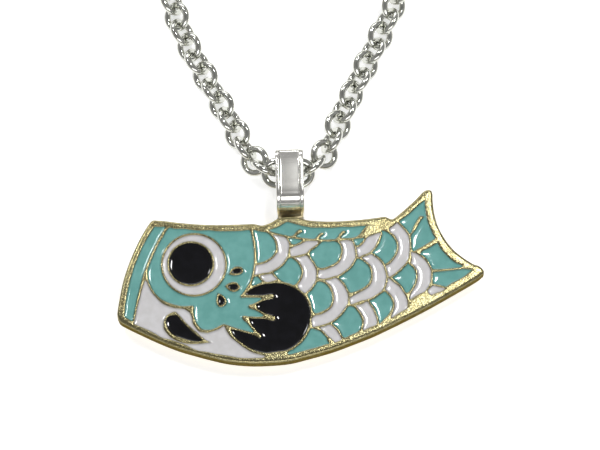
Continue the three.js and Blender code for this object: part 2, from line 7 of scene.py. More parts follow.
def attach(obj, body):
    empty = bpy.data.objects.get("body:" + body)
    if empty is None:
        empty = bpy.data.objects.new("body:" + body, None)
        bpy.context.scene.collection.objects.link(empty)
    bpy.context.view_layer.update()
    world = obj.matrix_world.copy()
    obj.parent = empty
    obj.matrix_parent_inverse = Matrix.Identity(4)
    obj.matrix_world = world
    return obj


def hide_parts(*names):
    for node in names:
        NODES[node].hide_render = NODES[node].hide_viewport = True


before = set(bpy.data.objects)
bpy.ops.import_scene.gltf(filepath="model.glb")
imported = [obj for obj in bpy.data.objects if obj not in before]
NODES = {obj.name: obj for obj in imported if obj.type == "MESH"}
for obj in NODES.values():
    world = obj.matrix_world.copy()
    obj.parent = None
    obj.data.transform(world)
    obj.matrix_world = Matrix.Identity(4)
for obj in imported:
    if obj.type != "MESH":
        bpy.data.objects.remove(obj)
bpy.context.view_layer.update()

MM = 0.001
scene = bpy.context.scene
scene.view_settings.view_transform = "Standard"
scene.view_settings.look = "None"

# ------------------------------------------------------------------ camera
ELEV = math.radians(72.6)
LENS = 300.0
back = Vector((0.0, -math.cos(ELEV), math.sin(ELEV)))
target = Vector((-0.104, 3.83, 2.8)) * MM
cam_data = bpy.data.cameras.new("camera")
cam = bpy.data.objects.new("camera", cam_data)
scene.collection.objects.link(cam)
cam_data.lens = LENS
cam_data.sensor_width = 36.0
cam_data.clip_start, cam_data.clip_end = 0.01, 10.0
cam.location = target + back * (LENS * 600 / (36.0 * 8.51) * MM)
cam.rotation_mode = "QUATERNION"
cam.rotation_quaternion = (-back).to_track_quat("-Z", "Y")
scene.camera = cam

# ------------------------------------------------------------------ outlines (mm, x y corner)
EYE = (-12.537, -1.038)
PUPIL = (-12.913, -0.915)
OUTLINE = "-21.46,-7.18 -21.37,-6.18 -21.18,-4.95 -20.96,-3.72 -20.67,-2.49 -20.23,-1.1 -19.71,0.29 -19.13,1.67 -18.54,2.83 -18.02,3.75 -17.73,4.17 -17.48,4.4 -17.26,4.46 -16.92,4.44 -15.97,4.37 -14.79,4.21 -13.32,4.06 -11.86,3.95 -10.68,3.9 -9.21,3.89 -7.74,3.94 -6.57,3.98 -5.54,4.01 -5.07,3.92 -4.63,3.83 -4.19,3.92 -3.48,4.21 -2.9,4.57 -2.43,4.75 -1.87,4.84 -1.28,4.89 -0.69,4.86 0.04,4.71 0.48,4.55 1.07,4.44 2.54,4.33 4.01,4.33 5.48,4.41 6.95,4.54 8.42,4.71 9.3,4.83 9.88,4.91 10.33,4.72 10.69,4.6 11.06,4.78 11.79,5.4 12.68,6.21 13.56,7.06 14.29,7.86 14.66,8.14 15.03,8.23 15.35,8.11 15.51,7.71 15.52,6.91 15.61,5.91 15.79,4.83 16.13,3.67 16.57,2.75 17.23,1.67 17.96,0.78 18.7,0.13 19.43,-0.41 20.24,-0.92 20.83,-1.13 21.27,-1.47 21.46,-1.79 21.43,-2.08 21.32,-2.14 20.87,-2.53 19.8,-3.23 18.85,-3.8 17,-4.9 14.7,-6.23 12.28,-7.53 10.4,-8.49 8.39,-9.47 5.75,-10.55 3.71,-11.33 1.07,-12.11 -1.28,-12.71 -3.63,-12.94 -5.98,-12.98 -8.33,-12.76 -10.45,-12.29 -12.44,-11.74 -14.21,-11.2 -16.55,-10.25 -18.91,-9.13 -20.43,-8.36 -21.12,-7.93 -21.37,-7.5"
CELLS = {
    "teal_mouth_band": "-16.03,3.55,1 -16.74,2.3 -17.46,0.78 -17.83,-0.06 -18.19,-1.06 -18.47,-1.87 -18.71,-2.76 -19,-4 -19.34,-5.46 -19.4,-5.9 -19.6,-6.9 -19.74,-7.82,1 -20.46,-7.47 -20.6,-7.33 -20.58,-6.92 -20.49,-5.78 -20.34,-4.75 -20.29,-4.33 -20.15,-3.65 -19.88,-2.57 -19.49,-1.14 -19.3,-0.68 -19,0.12 -18.47,1.4 -17.84,2.58 -17.33,3.42 -17.18,3.63 -16.98,3.64",
    "teal_head": "-4.7,-5.18,1 -5.23,-5.53 -5.8,-5.81 -6.04,-5.91 -6.13,-6.07 -6.13,-6.25 -6.04,-6.37 -5.65,-6.57 -4.98,-6.92 -4.48,-7.25,1 -5.15,-7.3 -6.01,-7.26 -6.61,-7.22 -6.79,-7.29 -6.88,-7.43 -6.87,-7.56 -6.73,-7.86 -6.4,-8.2 -6.04,-8.66 -5.61,-9.22,1 -7.07,-8.82 -8.05,-8.49 -8.79,-8.25 -9.19,-8.26 -9.87,-8.59 -10.49,-8.84 -11.38,-8.83 -11.79,-8.53 -12.19,-7.87 -12.41,-7.06 -12.52,-6.14 -12.68,-6.03 -12.99,-6.02 -13.93,-5.99 -15,-5.74 -16.2,-5.2 -16.82,-4.62 -17.28,-4.04 -17.74,-2.91 -17.85,-1.86 -17.62,-1.04 -17.16,0.14 -16.59,1.47 -16.12,2.29 -15.7,3.06 -15.4,3.43 -15.04,3.42 -13.67,3.27 -12.26,3.16 -10.67,3.09 -8.95,3.08 -7.52,3.1 -6.44,3.18 -6.08,3.12 -5.99,2.91 -5.79,1.92 -5.62,0.69 -5.63,-0.89 -5.77,-1.93 -6.12,-3.17 -6.73,-4.22 -7.14,-4.82 -7.11,-5.04 -6.95,-5.13 -6.63,-5.15 -5.66,-5.16",
    "teal_scale_a": "-5.06,-0.74,1 -5.07,0.14 -5.13,0.92 -5.27,2.01 -5.5,3.14,1 -4.59,3 -3.96,2.75 -3.38,2.19 -3.08,1.56 -3.03,0.94 -3.23,0.33 -3.64,-0.14 -4.43,-0.61",
    "teal_scale_b": "-3.11,-1.97,1 -2.43,-1.5 -1.86,-0.99 -1.53,-0.49 -1.32,-0.31 -1.15,-0.3 -0.93,-0.43 -0.6,-0.69 -0.27,-1.12 -0.03,-1.71 0,-2.06 -0.19,-2.67 -0.49,-3.18 -0.77,-3.39 -0.95,-3.4 -1.23,-3.26 -1.98,-3.03 -2.35,-2.82 -2.61,-2.6",
    "teal_scale_c": "3.92,1.73 4.43,1.41 4.61,0.76 4.5,0.1 4.22,-0.51 3.7,-0.91 3.11,-1.2 2.49,-1.35 1.94,-1.18 1.61,-0.6 1.21,-0.07 1.2,0.49 1.71,0.89 2.17,1.35 2.63,1.71 3.28,1.69",
    "teal_scale_d": "9.88,-0.87,1 9.66,-0.47 9.16,0.04 8.47,0.46,1 9.02,1.1 9.28,1.53 9.52,2.19 9.61,2.57 9.62,2.76 9.55,3.11,1 10.26,2.73 10.73,2.25 11.04,1.76 11.17,1.09 11.03,0.43 10.66,-0.16",
    "teal_scale_e": "4.52,-2.6,1 5.19,-2.17 5.72,-1.77 6.11,-1.38 6.45,-0.73 6.67,-0.41 6.79,-0.4 7.15,-0.55 7.61,-0.96 7.92,-1.38 8.12,-1.98 8.12,-2.63 7.93,-3.12 7.48,-3.59 6.82,-4 6,-4.32 5.81,-4.33 5.7,-4.22 5.45,-3.67 5.15,-3.2",
    "teal_scale_f": "10.85,-2.6,1 11.09,-2.42 11.33,-2.24 11.47,-2.06 11.74,-1.87 11.87,-1.76 11.9,-1.62 11.97,-1.51 12.22,-1.31 12.39,-1.16 12.53,-0.94,1 13.05,-1.41 13.33,-1.8 13.46,-2.28 13.41,-2.78 13.18,-3.42 12.83,-4 12.49,-4.36 12.38,-4.38 12.28,-4.33 12.24,-4.23 12.13,-3.92 11.74,-3.38 11.34,-2.99",
    "teal_scale_g": "2.02,-3.2 2.6,-3.33 3.06,-3.73 3.38,-4.26 3.54,-4.86 3.52,-5.49 3.29,-6.06 2.81,-6.44 2.27,-6.71 1.68,-6.85 1.42,-6.38 1.31,-5.77 1.09,-5.18 0.91,-4.64 1.34,-4.21 1.67,-3.68",
    "teal_scale_h": "9.81,-4.38,1 10.37,-5.09 10.64,-5.79 10.51,-6.39 9.96,-7.32 9.2,-8.09,1 9.11,-7.41 8.94,-7.04 8.84,-6.68 8.66,-6.24 8.37,-5.83 8.14,-5.49,1 8.37,-5.37 8.67,-5.26 8.94,-5.05 9.17,-4.83 9.49,-4.61",
    "teal_scale_i": "3.77,-8.21,1 4.42,-7.64 5.03,-7.03 5.38,-6.5 5.57,-6.21 5.73,-6.17 6.04,-6.26 6.37,-6.57 6.8,-7.25 7.01,-7.84 7,-8.37 6.78,-8.93 6.5,-9.28 5.92,-9.57 5.26,-9.84 5.04,-9.83 4.96,-9.74 4.84,-9.44 4.64,-9.05 4.19,-8.51",
    "teal_scale_j": "3.22,-10.61,1 2.23,-11 0.91,-11.37 -0.26,-11.7 -1.19,-11.87 -1.48,-11.86,1 -1.26,-11.65 -0.76,-11.41 -0.37,-11.07 0.01,-10.78 0.45,-10.29 0.8,-9.76 1.12,-9.13 1.24,-8.94 1.35,-8.93 1.75,-9.06 2.18,-9.23 2.55,-9.61 2.92,-10.03 3,-10.34",
    "teal_chip_a": "-4.63,-3.09,1 -5.24,-3.36 -5.68,-3.49,1 -5.53,-2.97 -5.37,-2.64 -5.27,-2.56 -5.17,-2.56 -5.03,-2.66",
    "teal_chip_b": "0.04,1.92,1 -0.36,1.68 -0.68,1.54 -0.91,1.54 -1.04,1.6 -1.16,1.81 -1.35,2.14,1 -0.89,2.09",
    "teal_chip_c": "7.38,2.17,1 7.27,1.99 7.06,1.77 6.88,1.54 6.74,1.43 6.61,1.4 6.51,1.43 6.45,1.5 6.38,1.75 6.29,1.98,1 6.68,2.08",
    "teal_dorsal": "7.67,3.75,1 6.92,2.85 6.42,2.48 5.49,2.33 4.77,2.35,1 5.32,3.02,1 5.06,3.15 4.93,3.13 4.67,2.9 4.21,2.36 3.97,2.21 3.54,2.19 2.82,2.15 2.27,2.21,1 2.76,2.84,1 2.43,2.89 2.13,2.75 1.68,2.33 1.42,2.24 0.51,2.33 -0.46,2.48,1 0.23,3.05,1 0.01,3.28 -0.15,3.3 -0.4,3.15 -0.94,2.68 -1.19,2.59 -1.84,2.7 -2.8,2.91 -3.62,3.19,1 -2.64,3.62 -1.66,4.2 -1.36,4.18 -0.41,3.9 0.38,3.7 1.27,3.54 2.36,3.54 3.44,3.51 4.97,3.62 5.91,3.61 6.89,3.71",
    "teal_tail_a": "11.68,4.29,1 12.26,4.83 12.82,5.29 13.38,5.83 14,6.44 14.57,6.86,1 14.61,5.98 14.73,5.14 14.86,4.49 15.01,3.98 15.25,3.37 15.47,2.83 15.73,2.24,1 14.63,1.52 13.85,1.06 13.26,0.75,1 13.07,0.98 13.03,1.67 13.01,2.29 13.14,2.72 13.53,3.37 14.11,4.4 14.48,4.87,1 14,4.91 13.7,4.47 13.31,3.78 12.84,2.86,1 12.28,3.6 11.87,4.01",
    "teal_tail_b": "14.07,0.18,1 14.29,0.55 15.03,0.93 16.04,1.58,1 16.45,0.9 16.89,0.36 17.55,-0.33 18.29,-0.92 18.86,-1.22,1 18.14,-1.35 17.38,-1.41 16.58,-1.47 15.83,-1.5 15.48,-1.49,1 15.25,-1.1 15.03,-0.71 14.73,-0.25 14.39,0.09",
    "teal_tail_c": "15.55,-2.06,1 17.23,-1.87 18.7,-1.67 20.08,-1.65,1 19.14,-2.46 18.33,-2.95 17.4,-3.41 16.95,-3.69,1 16.58,-3.59 15.96,-3.39 15.55,-3.26,1 15.5,-2.64",
    "black_pupil": "",
    "black_spot_a": "-8.2,-2.04,1 -7.96,-1.75 -7.59,-1.52 -7.3,-1.5 -6.98,-1.7 -7.01,-1.9 -7.3,-2.06 -7.7,-2.1",
    "black_spot_b": "-8.56,-3.69,1 -8.21,-3.46 -7.82,-3.39 -7.48,-3.53 -7.39,-3.79 -7.57,-4.01 -7.89,-4.09 -8.26,-3.95",
    "black_spot_c": "-9.56,-4.79,1 -9.21,-5.03 -9.01,-5.33 -8.96,-5.6 -9.14,-5.86 -9.45,-5.96,1 -9.58,-5.72 -9.59,-5.26",
    "black_mouth": "-14.5,-7.35 -13.98,-8.03 -13.07,-8.95 -12.32,-9.64 -11.5,-10.23,1 -12.15,-10.29 -12.77,-10.2 -13.73,-9.92 -14.72,-9.52 -15.26,-9.01 -15.6,-8.37 -15.64,-7.88 -15.45,-7.54 -15.09,-7.32",
    "black_fin": "-8.06,-9.02,1 -7.71,-9.09 -7.07,-9.26 -6.3,-9.49 -5.52,-9.71 -4.93,-9.95 -4.75,-9.95 -4.62,-9.85 -4.59,-9.75 -4.68,-9.51 -5.06,-9.06 -5.52,-8.49 -5.79,-8.13 -5.84,-7.8 -5.94,-7.66,1 -5.51,-7.71 -4.88,-7.73 -4.07,-7.75 -3.45,-7.84 -3.11,-7.83 -2.97,-7.74 -2.93,-7.6 -2.97,-7.46 -3.11,-7.34 -3.53,-7.16 -4.15,-6.84 -4.79,-6.48 -4.98,-6.3 -5.13,-5.94,1 -4.48,-5.61 -3.7,-5.29 -3.21,-5.11 -3.13,-4.98 -3.12,-4.8 -3.19,-4.71 -3.37,-4.65 -4.22,-4.68 -5.28,-4.67 -6.38,-4.63,1 -5.48,-3.96 -4.43,-3.55 -3.5,-3.4 -2.42,-3.42 -1.2,-3.8 -0.43,-4.26 0.37,-5.07 0.81,-5.97 1.03,-6.96 0.98,-7.58 0.78,-8.53 0.28,-9.61 -0.53,-10.6 -1.4,-11.2 -2.46,-11.58 -3.65,-11.72 -4.67,-11.57 -5.52,-11.28 -6.37,-10.79 -7.11,-10.24 -7.67,-9.72",
    "white_band_a": "-3.19,2.58,1 -2.43,2.38 -1.87,2.19 -1.57,1.82 -1.47,0.98 -1.6,0.24 -1.87,-0.33 -2.43,-1.1 -3.12,-1.56 -3.78,-1.87 -4.51,-1.98 -5.33,-2.16,1 -5.23,-1.22,1 -4.73,-1.04 -4.07,-0.85 -3.4,-0.44 -2.87,0.16 -2.6,0.56 -2.63,1.13 -2.73,1.82 -2.92,2.26",
    "white_band_b": "-4.69,-2.44,1 -4.07,-2.32 -3.48,-2.21,1 -2.92,-2.79,1 -3.34,-2.93 -4.04,-3.04 -4.44,-2.82",
    "white_band_c": "-1.15,0.9,1 -0.69,1.16 0.04,1.43 0.63,1.73 1.07,1.79 1.92,1.75,1 1.73,1.44 1.36,1.21 0.92,0.87 0.56,0.47 0.04,0.29 -0.4,0.16 -1.1,0.07,1 -1.19,0.47",
    "white_band_d": "-0.6,-0.18,1 -0.03,-0.14 0.57,0.01 0.85,-0.21 1.25,-0.71 1.58,-1.41 1.73,-2.1 1.7,-2.64 1.48,-3.29 1.07,-3.87 0.48,-4.39,1 0.04,-4.06 -0.28,-3.64,1 -0.22,-3.41 0.16,-2.79 0.34,-2.02 0.29,-1.49 0.01,-0.87 -0.28,-0.44",
    "white_band_e": "4.7,1.75,1 5.33,1.87 5.89,1.78,1 6.21,1.09 6.32,0.13 6.11,-0.56 5.48,-1.36 4.96,-1.82 4.49,-2.16 3.86,-2.36 3.13,-2.61 2.54,-2.65 2.07,-2.52,1 2.22,-1.79,1 2.83,-1.7 3.49,-1.45 4.23,-1.1 4.67,-0.64 4.96,0.13 5.04,0.9 4.92,1.44",
    "white_band_f": "6.59,1.06,1 7.02,1.21 7.46,1.67 7.8,2.19 8.49,2.6 9.33,2.81,1 9.03,2.26 8.78,1.67 8.49,1.06 7.97,0.56 7.39,0.32 6.84,0.01,1 6.62,0.52",
    "white_band_g": "10.47,3.37,1 10.84,3.7 11.31,4,1 11.88,3.41 12.29,2.9 12.59,2.32 12.72,1.59 12.69,0.82 12.56,-0.02 12.26,-0.79 11.79,-1.33 11.28,-1.79 10.84,-2.15 10.35,-2.46,1 10.15,-1.79 9.99,-1.22,1 10.54,-0.95 10.94,-0.41 11.35,0.29 11.56,1.06 11.53,1.67 11.32,2.29 11.03,2.72 10.62,3.03",
    "white_band_h": "7.27,-0.19,1 7.75,-0.05 8.21,0.18 8.59,-0.1 9.11,-0.56 9.59,-1.25 9.86,-2.02 9.93,-2.79 9.77,-3.56 9.37,-4.18 8.56,-4.76 7.83,-5.13 6.95,-5.35 5.89,-5.78,1 5.77,-5.18,1 6.36,-4.83 7.02,-4.46 7.68,-4.06 8.2,-3.56 8.46,-2.79 8.49,-2.02 8.34,-1.25 7.97,-0.79",
    "white_band_i": "2.95,-2.98,1 3.49,-2.9 4.04,-2.72 4.38,-2.95 4.85,-3.56 5.26,-4.33 5.46,-5.1 5.33,-5.87 4.99,-6.41 4.48,-7.07 3.89,-7.64 3.27,-7.98 2.54,-8.26 1.45,-8.52,1 1.32,-7.69,1 1.73,-7.35 2.39,-7.2 3.13,-6.8 3.64,-6.33 3.91,-5.72 3.98,-5.1 3.89,-4.33 3.6,-3.56",
    "white_band_j": "12.97,0.44,1 13.85,0.09 14.47,-0.44 14.94,-1.1 15.17,-1.87 15.17,-2.64 14.97,-3.41 14.58,-4.09 13.85,-4.61 12.82,-5.18,1 13.03,-4.49 13.53,-3.49 13.7,-2.64 13.66,-1.87 13.41,-1.22 12.97,-0.82,1 13.12,-0.25",
    "white_band_k": "10.27,-2.76,1 10.84,-3.26 11.44,-3.79 11.91,-4.41 12.21,-5.1 12.44,-6.03 12.38,-6.41,1 11.68,-6.8 10.62,-7.41,1 10.94,-6.72 11.09,-6.03 10.94,-5.18 10.54,-4.56 9.93,-4.03,1 10.06,-3.49",
    "white_band_l": "6.55,-6.09,1 7.17,-5.95 7.7,-5.61,1 8.22,-6.33 8.59,-7.11 8.8,-7.88 8.77,-8.28,1 8.2,-8.58 7.36,-8.94,1 7.46,-8.11 7.46,-7.57 7.17,-6.92",
    "white_band_m": "2.32,-8.75,1 2.91,-8.61 3.39,-8.46 3.89,-8.88 4.33,-9.49 4.66,-10.14,1 4.01,-10.48,1 3.57,-9.94 3.13,-9.57 2.76,-9.11",
    "white_chip": "15.48,-3.66,1 16.11,-3.77 16.85,-3.96,1 16.05,-4.38 15.29,-4.72,1 14.94,-4.23",
    "white_jaw": "-18.2,-3.07,1 -17.94,-3.59 -17.51,-4.49 -17,-5.13 -16.34,-5.78 -15.53,-6.21 -14.5,-6.43 -13.65,-6.58 -13.09,-6.92,1 -12.85,-7.54 -12.71,-8.18 -12.3,-8.75 -11.97,-9.14 -11.44,-9.37 -10.86,-9.45 -10.09,-9.2 -9.5,-8.95 -9.01,-8.61,1 -8.7,-9.26 -8.26,-9.95 -7.52,-10.57 -6.64,-11.26 -5.61,-11.85 -4.29,-12.22,1 -5.54,-12.4 -7.15,-12.37 -8.33,-12.14 -9.95,-11.88 -11.19,-11.6 -12.3,-11.29 -13.76,-10.69 -15.09,-10.21 -16.41,-9.74 -17.73,-9.06 -18.83,-8.54 -19.41,-8.21,1 -19.26,-7.57 -19.11,-6.8 -18.96,-6.03 -18.73,-5.1 -18.52,-4.18",
    "white_eye": "",
}
RIMS = {
    "eye_rim": "",
    "pupil_rim": "",
    "spot_rim_a": "-8.48,-2.21,1 -8.11,-1.59 -7.67,-1.28 -7.23,-1.25 -6.83,-1.45 -6.71,-1.75 -6.86,-2.06 -7.3,-2.29 -7.89,-2.36",
    "spot_rim_b": "-8.92,-3.64,1 -8.4,-3.29 -7.82,-3.16 -7.38,-3.35 -7.11,-3.69 -7.15,-4.06 -7.48,-4.3 -7.96,-4.38 -8.48,-4.15",
    "spot_rim_c": "-9.77,-4.46,1 -9.21,-4.72 -8.8,-5.1 -8.62,-5.57 -8.74,-5.95 -9.09,-6.18 -9.5,-6.2 -9.83,-5.95 -9.95,-5.41",
    "mouth_rim": "-14.67,-6.72 -14.13,-7.18 -13.44,-7.95 -12.81,-8.64 -12.22,-9.21 -11.49,-9.85 -10.5,-10.49,1 -11.27,-10.71 -12.15,-10.79 -12.96,-10.71 -13.84,-10.54 -14.65,-10.23 -15.31,-9.83 -15.82,-9.35 -16.12,-8.83 -16.16,-8.18 -16,-7.57 -15.7,-7.11 -15.23,-6.83",
}


def control(text):
    out = []
    for w in text.split():
        p = w.split(",")
        out.append((float(p[0]), float(p[1]), len(p) > 2))
    return out


def smooth(v, step):
    """A closed control line, rounded between its corners, as points about step apart."""
    n = len(v)
    P = np.array([(a, b) for a, b, _ in v])
    C = [c for *_, c in v]
    out = []
    for i in range(n):
        p1, p2 = P[i], P[(i + 1) % n]
        p0 = P[i - 1] if not C[i] else None
        p3 = P[(i + 2) % n] if not C[(i + 1) % n] else None
        per = max(1, int(round(np.hypot(*(p2 - p1)) / step)))
        if p0 is None and p3 is None:
            for t in np.arange(per) / per:
                out.append(p1 + (p2 - p1) * t)
            continue
        if p3 is None:
            p3 = 2 * p2 - p1
        if p0 is None:
            p0 = p1 - (p2 - p1) + 0.5 * (p1 + p3 - 2 * p2)
        t1 = max(np.hypot(*(p1 - p0)), 1e-6) ** 0.5
        t2 = t1 + max(np.hypot(*(p2 - p1)), 1e-6) ** 0.5
        t3 = t2 + max(np.hypot(*(p3 - p2)), 1e-6) ** 0.5
        for t in np.arange(per) / per:
            tt = t1 + (t2 - t1) * t
            A1 = (t1 - tt) / t1 * p0 + tt / t1 * p1
            A2 = (t2 - tt) / (t2 - t1) * p1 + (tt - t1) / (t2 - t1) * p2
            A3 = (t3 - tt) / (t3 - t2) * p2 + (tt - t2) / (t3 - t2) * p3
            B1 = (t2 - tt) / t2 * A1 + tt / t2 * A2
            B2 = (t3 - tt) / (t3 - t1) * A2 + (tt - t1) / (t3 - t1) * A3
            out.append((t2 - tt) / (t2 - t1) * B1 + (tt - t1) / (t2 - t1) * B2)
    return np.array(out)


def signed_area(p):
    return 0.5 * float(np.sum(p[:, 0] * np.roll(p[:, 1], -1) - p[:, 1] * np.roll(p[:, 0], -1)))


def circle(cx, cy, r, n):
    a = np.arange(n) * 2 * np.pi / n
    return np.stack([cx + r * np.cos(a), cy + r * np.sin(a)], 1)


STEP = 0.1
ROUND = {"black_pupil": (PUPIL, 2.52), "white_eye": (EYE, 3.63)}
RIM_ROUND = {"eye_rim": (EYE, 3.92), "pupil_rim": (PUPIL, 2.80)}


def ccw(p):
    return p if signed_area(p) > 0 else p[::-1]


def unkink(p, least=0.03):
    keep = [p[0]]
    for q in p[1:]:
        if np.hypot(*(q - keep[-1])) >= least:
            keep.append(q)
    if np.hypot(*(keep[0] - keep[-1])) < least:
        keep.pop()
    return np.array(keep)


cells = {}
for name, text in CELLS.items():
    if name in ROUND:
        (cx, cy), r = ROUND[name]
        cells[name] = circle(cx, cy, r, int(2 * math.pi * r / STEP))
    else:
        cells[name] = unkink(ccw(smooth(control(text), STEP)))
rims = {}
for name, text in RIMS.items():
    if name in RIM_ROUND:
        (cx, cy), r = RIM_ROUND[name]
        rims[name] = circle(cx, cy, r, int(2 * math.pi * r / STEP))
    else:
        rims[name] = unkink(ccw(smooth(control(text), STEP)))
outline = unkink(ccw(smooth(control(OUTLINE), STEP)))
RIMS_IN = {"teal_head": ["eye_rim", "spot_rim_a", "spot_rim_b", "spot_rim_c"], "white_eye": ["pupil_rim"], "white_jaw": ["mouth_rim"]}


def inside(points, poly):
    """Even-odd test of many points against one closed line."""
    x, y = points[:, 0], points[:, 1]
    hit = np.zeros(len(points), bool)
    lo, hi = poly.min(0), poly.max(0)
    near = np.where((x >= lo[0]) & (x <= hi[0]) & (y >= lo[1]) & (y <= hi[1]))[0]
    if not len(near):
        return hit
    a, b = poly, np.roll(poly, -1, 0)
    for k in range(0, len(near), 4000):
        ids = near[k:k + 4000]
        X, Y = x[ids][:, None], y[ids][:, None]
        cross = (a[:, 1] > Y) != (b[:, 1] > Y)
        with np.errstate(divide="ignore", invalid="ignore"):
            at = (b[:, 0] - a[:, 0]) * (Y - a[:, 1]) / (b[:, 1] - a[:, 1]) + a[:, 0]
        hit[ids] = (np.sum(cross & (X < at), 1) % 2).astype(bool)
    return hit


def distance(points, poly, reach):
    """Distance from points to a closed line, reach where it is further."""
    out = np.full(len(points), reach)
    lo, hi = poly.min(0) - reach, poly.max(0) + reach
    near = np.where(np.all((points >= lo) & (points <= hi), 1))[0]
    a, b = poly, np.roll(poly, -1, 0)
    ab = b - a
    L = np.maximum((ab ** 2).sum(1), 1e-12)
    for k in range(0, len(near), 3000):
        ids = near[k:k + 3000]
        p = points[ids][:, None, :]
        t = np.clip(((p - a) * ab).sum(2) / L, 0, 1)
        d = p - (a + t[..., None] * ab)
        out[ids] = np.minimum(out[ids], np.sqrt((d ** 2).sum(2)).min(1))
    return out


def offset_points(poly, d):
    """Points at distance d to the left of a counter-clockwise line (inside), to its right when d is negative."""
    u = np.roll(poly, -1, 0) - np.roll(poly, 1, 0)
    u /= np.maximum(np.hypot(u[:, 0], u[:, 1])[:, None], 1e-9)
    n = np.stack([-u[:, 1], u[:, 0]], 1)
    return poly + n * d


def thin(points, least):
    """Keeps points at least so far apart, on a grid of cells."""
    keep, seen = [], {}
    inv = 1.0 / least
    for i, (x, y) in enumerate(points):
        c = (int(math.floor(x * inv)), int(math.floor(y * inv)))
        ok = True
        for dx in (-1, 0, 1):
            for dy in (-1, 0, 1):
                j = seen.get((c[0] + dx, c[1] + dy))
                if j is not None and (points[j][0] - x) ** 2 + (points[j][1] - y) ** 2 < least * least:
                    ok = False
        if ok:
            seen[c] = i
            keep.append(i)
    return points[keep]


def triangulate(loops, extra):
    """Constrained triangulation of closed lines and loose points: (points, triangles, first index of each line)."""
    pts, edges, starts = [], [], []
    for lp in loops:
        s = len(pts)
        starts.append(s)
        pts.extend(Vector((float(x), float(y))) for x, y in lp)
        n = len(lp)
        edges.extend((s + i, s + (i + 1) % n) for i in range(n))
    fixed = len(pts)
    pts.extend(Vector((float(x), float(y))) for x, y in extra)
    v, e, f, ov, oe, of_ = geometry.delaunay_2d_cdt(pts, edges, [], 0, 1e-6)
    V = np.array([(p.x, p.y) for p in v])
    F = np.array([t for t in f if len(t) == 3], int)
    where = {}
    for i, o in enumerate(ov):
        for j in o:
            where[j] = i
    rings = [[where[s + i] for i in range(len(lp))] for s, lp in zip(starts, loops)]
    return V, F, rings


def new_object(name, verts, faces, materials, smooth_all=True, mat_of=None):
    me = bpy.data.meshes.new(name)
    me.from_pydata([tuple(map(float, p)) for p in verts], [], [tuple(map(int, f)) for f in faces])
    me.validate(clean_customdata=False)
    me.update()
    for m in materials:
        me.materials.append(m)
    if mat_of is not None:
        me.polygons.foreach_set("material_index", np.array(mat_of[:len(me.polygons)], np.int32))
    if smooth_all:
        me.polygons.foreach_set("use_smooth", np.ones(len(me.polygons), bool))
    ob = bpy.data.objects.new(name, me)
    scene.collection.objects.link(ob)
    return ob


# ------------------------------------------------------------------ materials
def material(name):
    m = bpy.data.materials.new(name)
    m.use_nodes = True
    nt = m.node_tree
    nt.nodes.clear()
    out = nt.nodes.new("ShaderNodeOutputMaterial")
    bsdf = nt.nodes.new("ShaderNodeBsdfPrincipled")
    nt.links.new(bsdf.outputs[0], out.inputs[0])
    return m, nt, bsdf


def coords(nt, scale=(1, 1, 1)):
    tc = nt.nodes.new("ShaderNodeTexCoord")
    mp = nt.nodes.new("ShaderNodeMapping")
    mp.inputs["Scale"].default_value = scale
    nt.links.new(tc.outputs["Object"], mp.inputs["Vector"])
    return mp.outputs["Vector"]


def noise(nt, vec, scale, detail=3.0, rough=0.5, distort=0.0):
    n = nt.nodes.new("ShaderNodeTexNoise")
    n.inputs["Scale"].default_value = scale
    n.inputs["Detail"].default_value = detail
    n.inputs["Roughness"].default_value = rough
    n.inputs["Distortion"].default_value = distort
    nt.links.new(vec, n.inputs["Vector"])
    return n.outputs["Fac"]


def ramp(nt, fac, stops):
    r = nt.nodes.new("ShaderNodeValToRGB")
    el = r.color_ramp.elements
    while len(el) < len(stops):
        el.new(0.5)
    for e, (pos, col) in zip(el, stops):
        e.position = pos
        e.color = (*col, 1) if len(col) == 3 else col
    nt.links.new(fac, r.inputs["Fac"])
    return r.outputs["Color"]


def mapr(nt, fac, a, b, c, d):
    r = nt.nodes.new("ShaderNodeMapRange")
    for k, v in zip(("From Min", "From Max", "To Min", "To Max"), (a, b, c, d)):
        r.inputs[k].default_value = v
    nt.links.new(fac, r.inputs["Value"])
    return r.outputs["Result"]


def mix(nt, fac, a, b, mode="MIX"):
    m = nt.nodes.new("ShaderNodeMix")
    m.data_type = "RGBA"
    m.blend_type = mode
    if isinstance(fac, float):
        m.inputs[0].default_value = fac
    else:
        nt.links.new(fac, m.inputs[0])
    for sock, v in ((m.inputs[6], a), (m.inputs[7], b)):
        if isinstance(v, tuple):
            sock.default_value = (*v, 1)
        else:
            nt.links.new(v, sock)
    return m.outputs[2]


def attribute(nt, name):
    a = nt.nodes.new("ShaderNodeAttribute")
    a.attribute_name = name
    return a.outputs["Fac"]


def bump(nt, bsdf, height, strength, dist):
    b = nt.nodes.new("ShaderNodeBump")
    b.inputs["Strength"].default_value = strength
    b.inputs["Distance"].default_value = dist
    nt.links.new(height, b.inputs["Height"])
    nt.links.new(b.outputs[0], bsdf.inputs["Normal"])
    return b


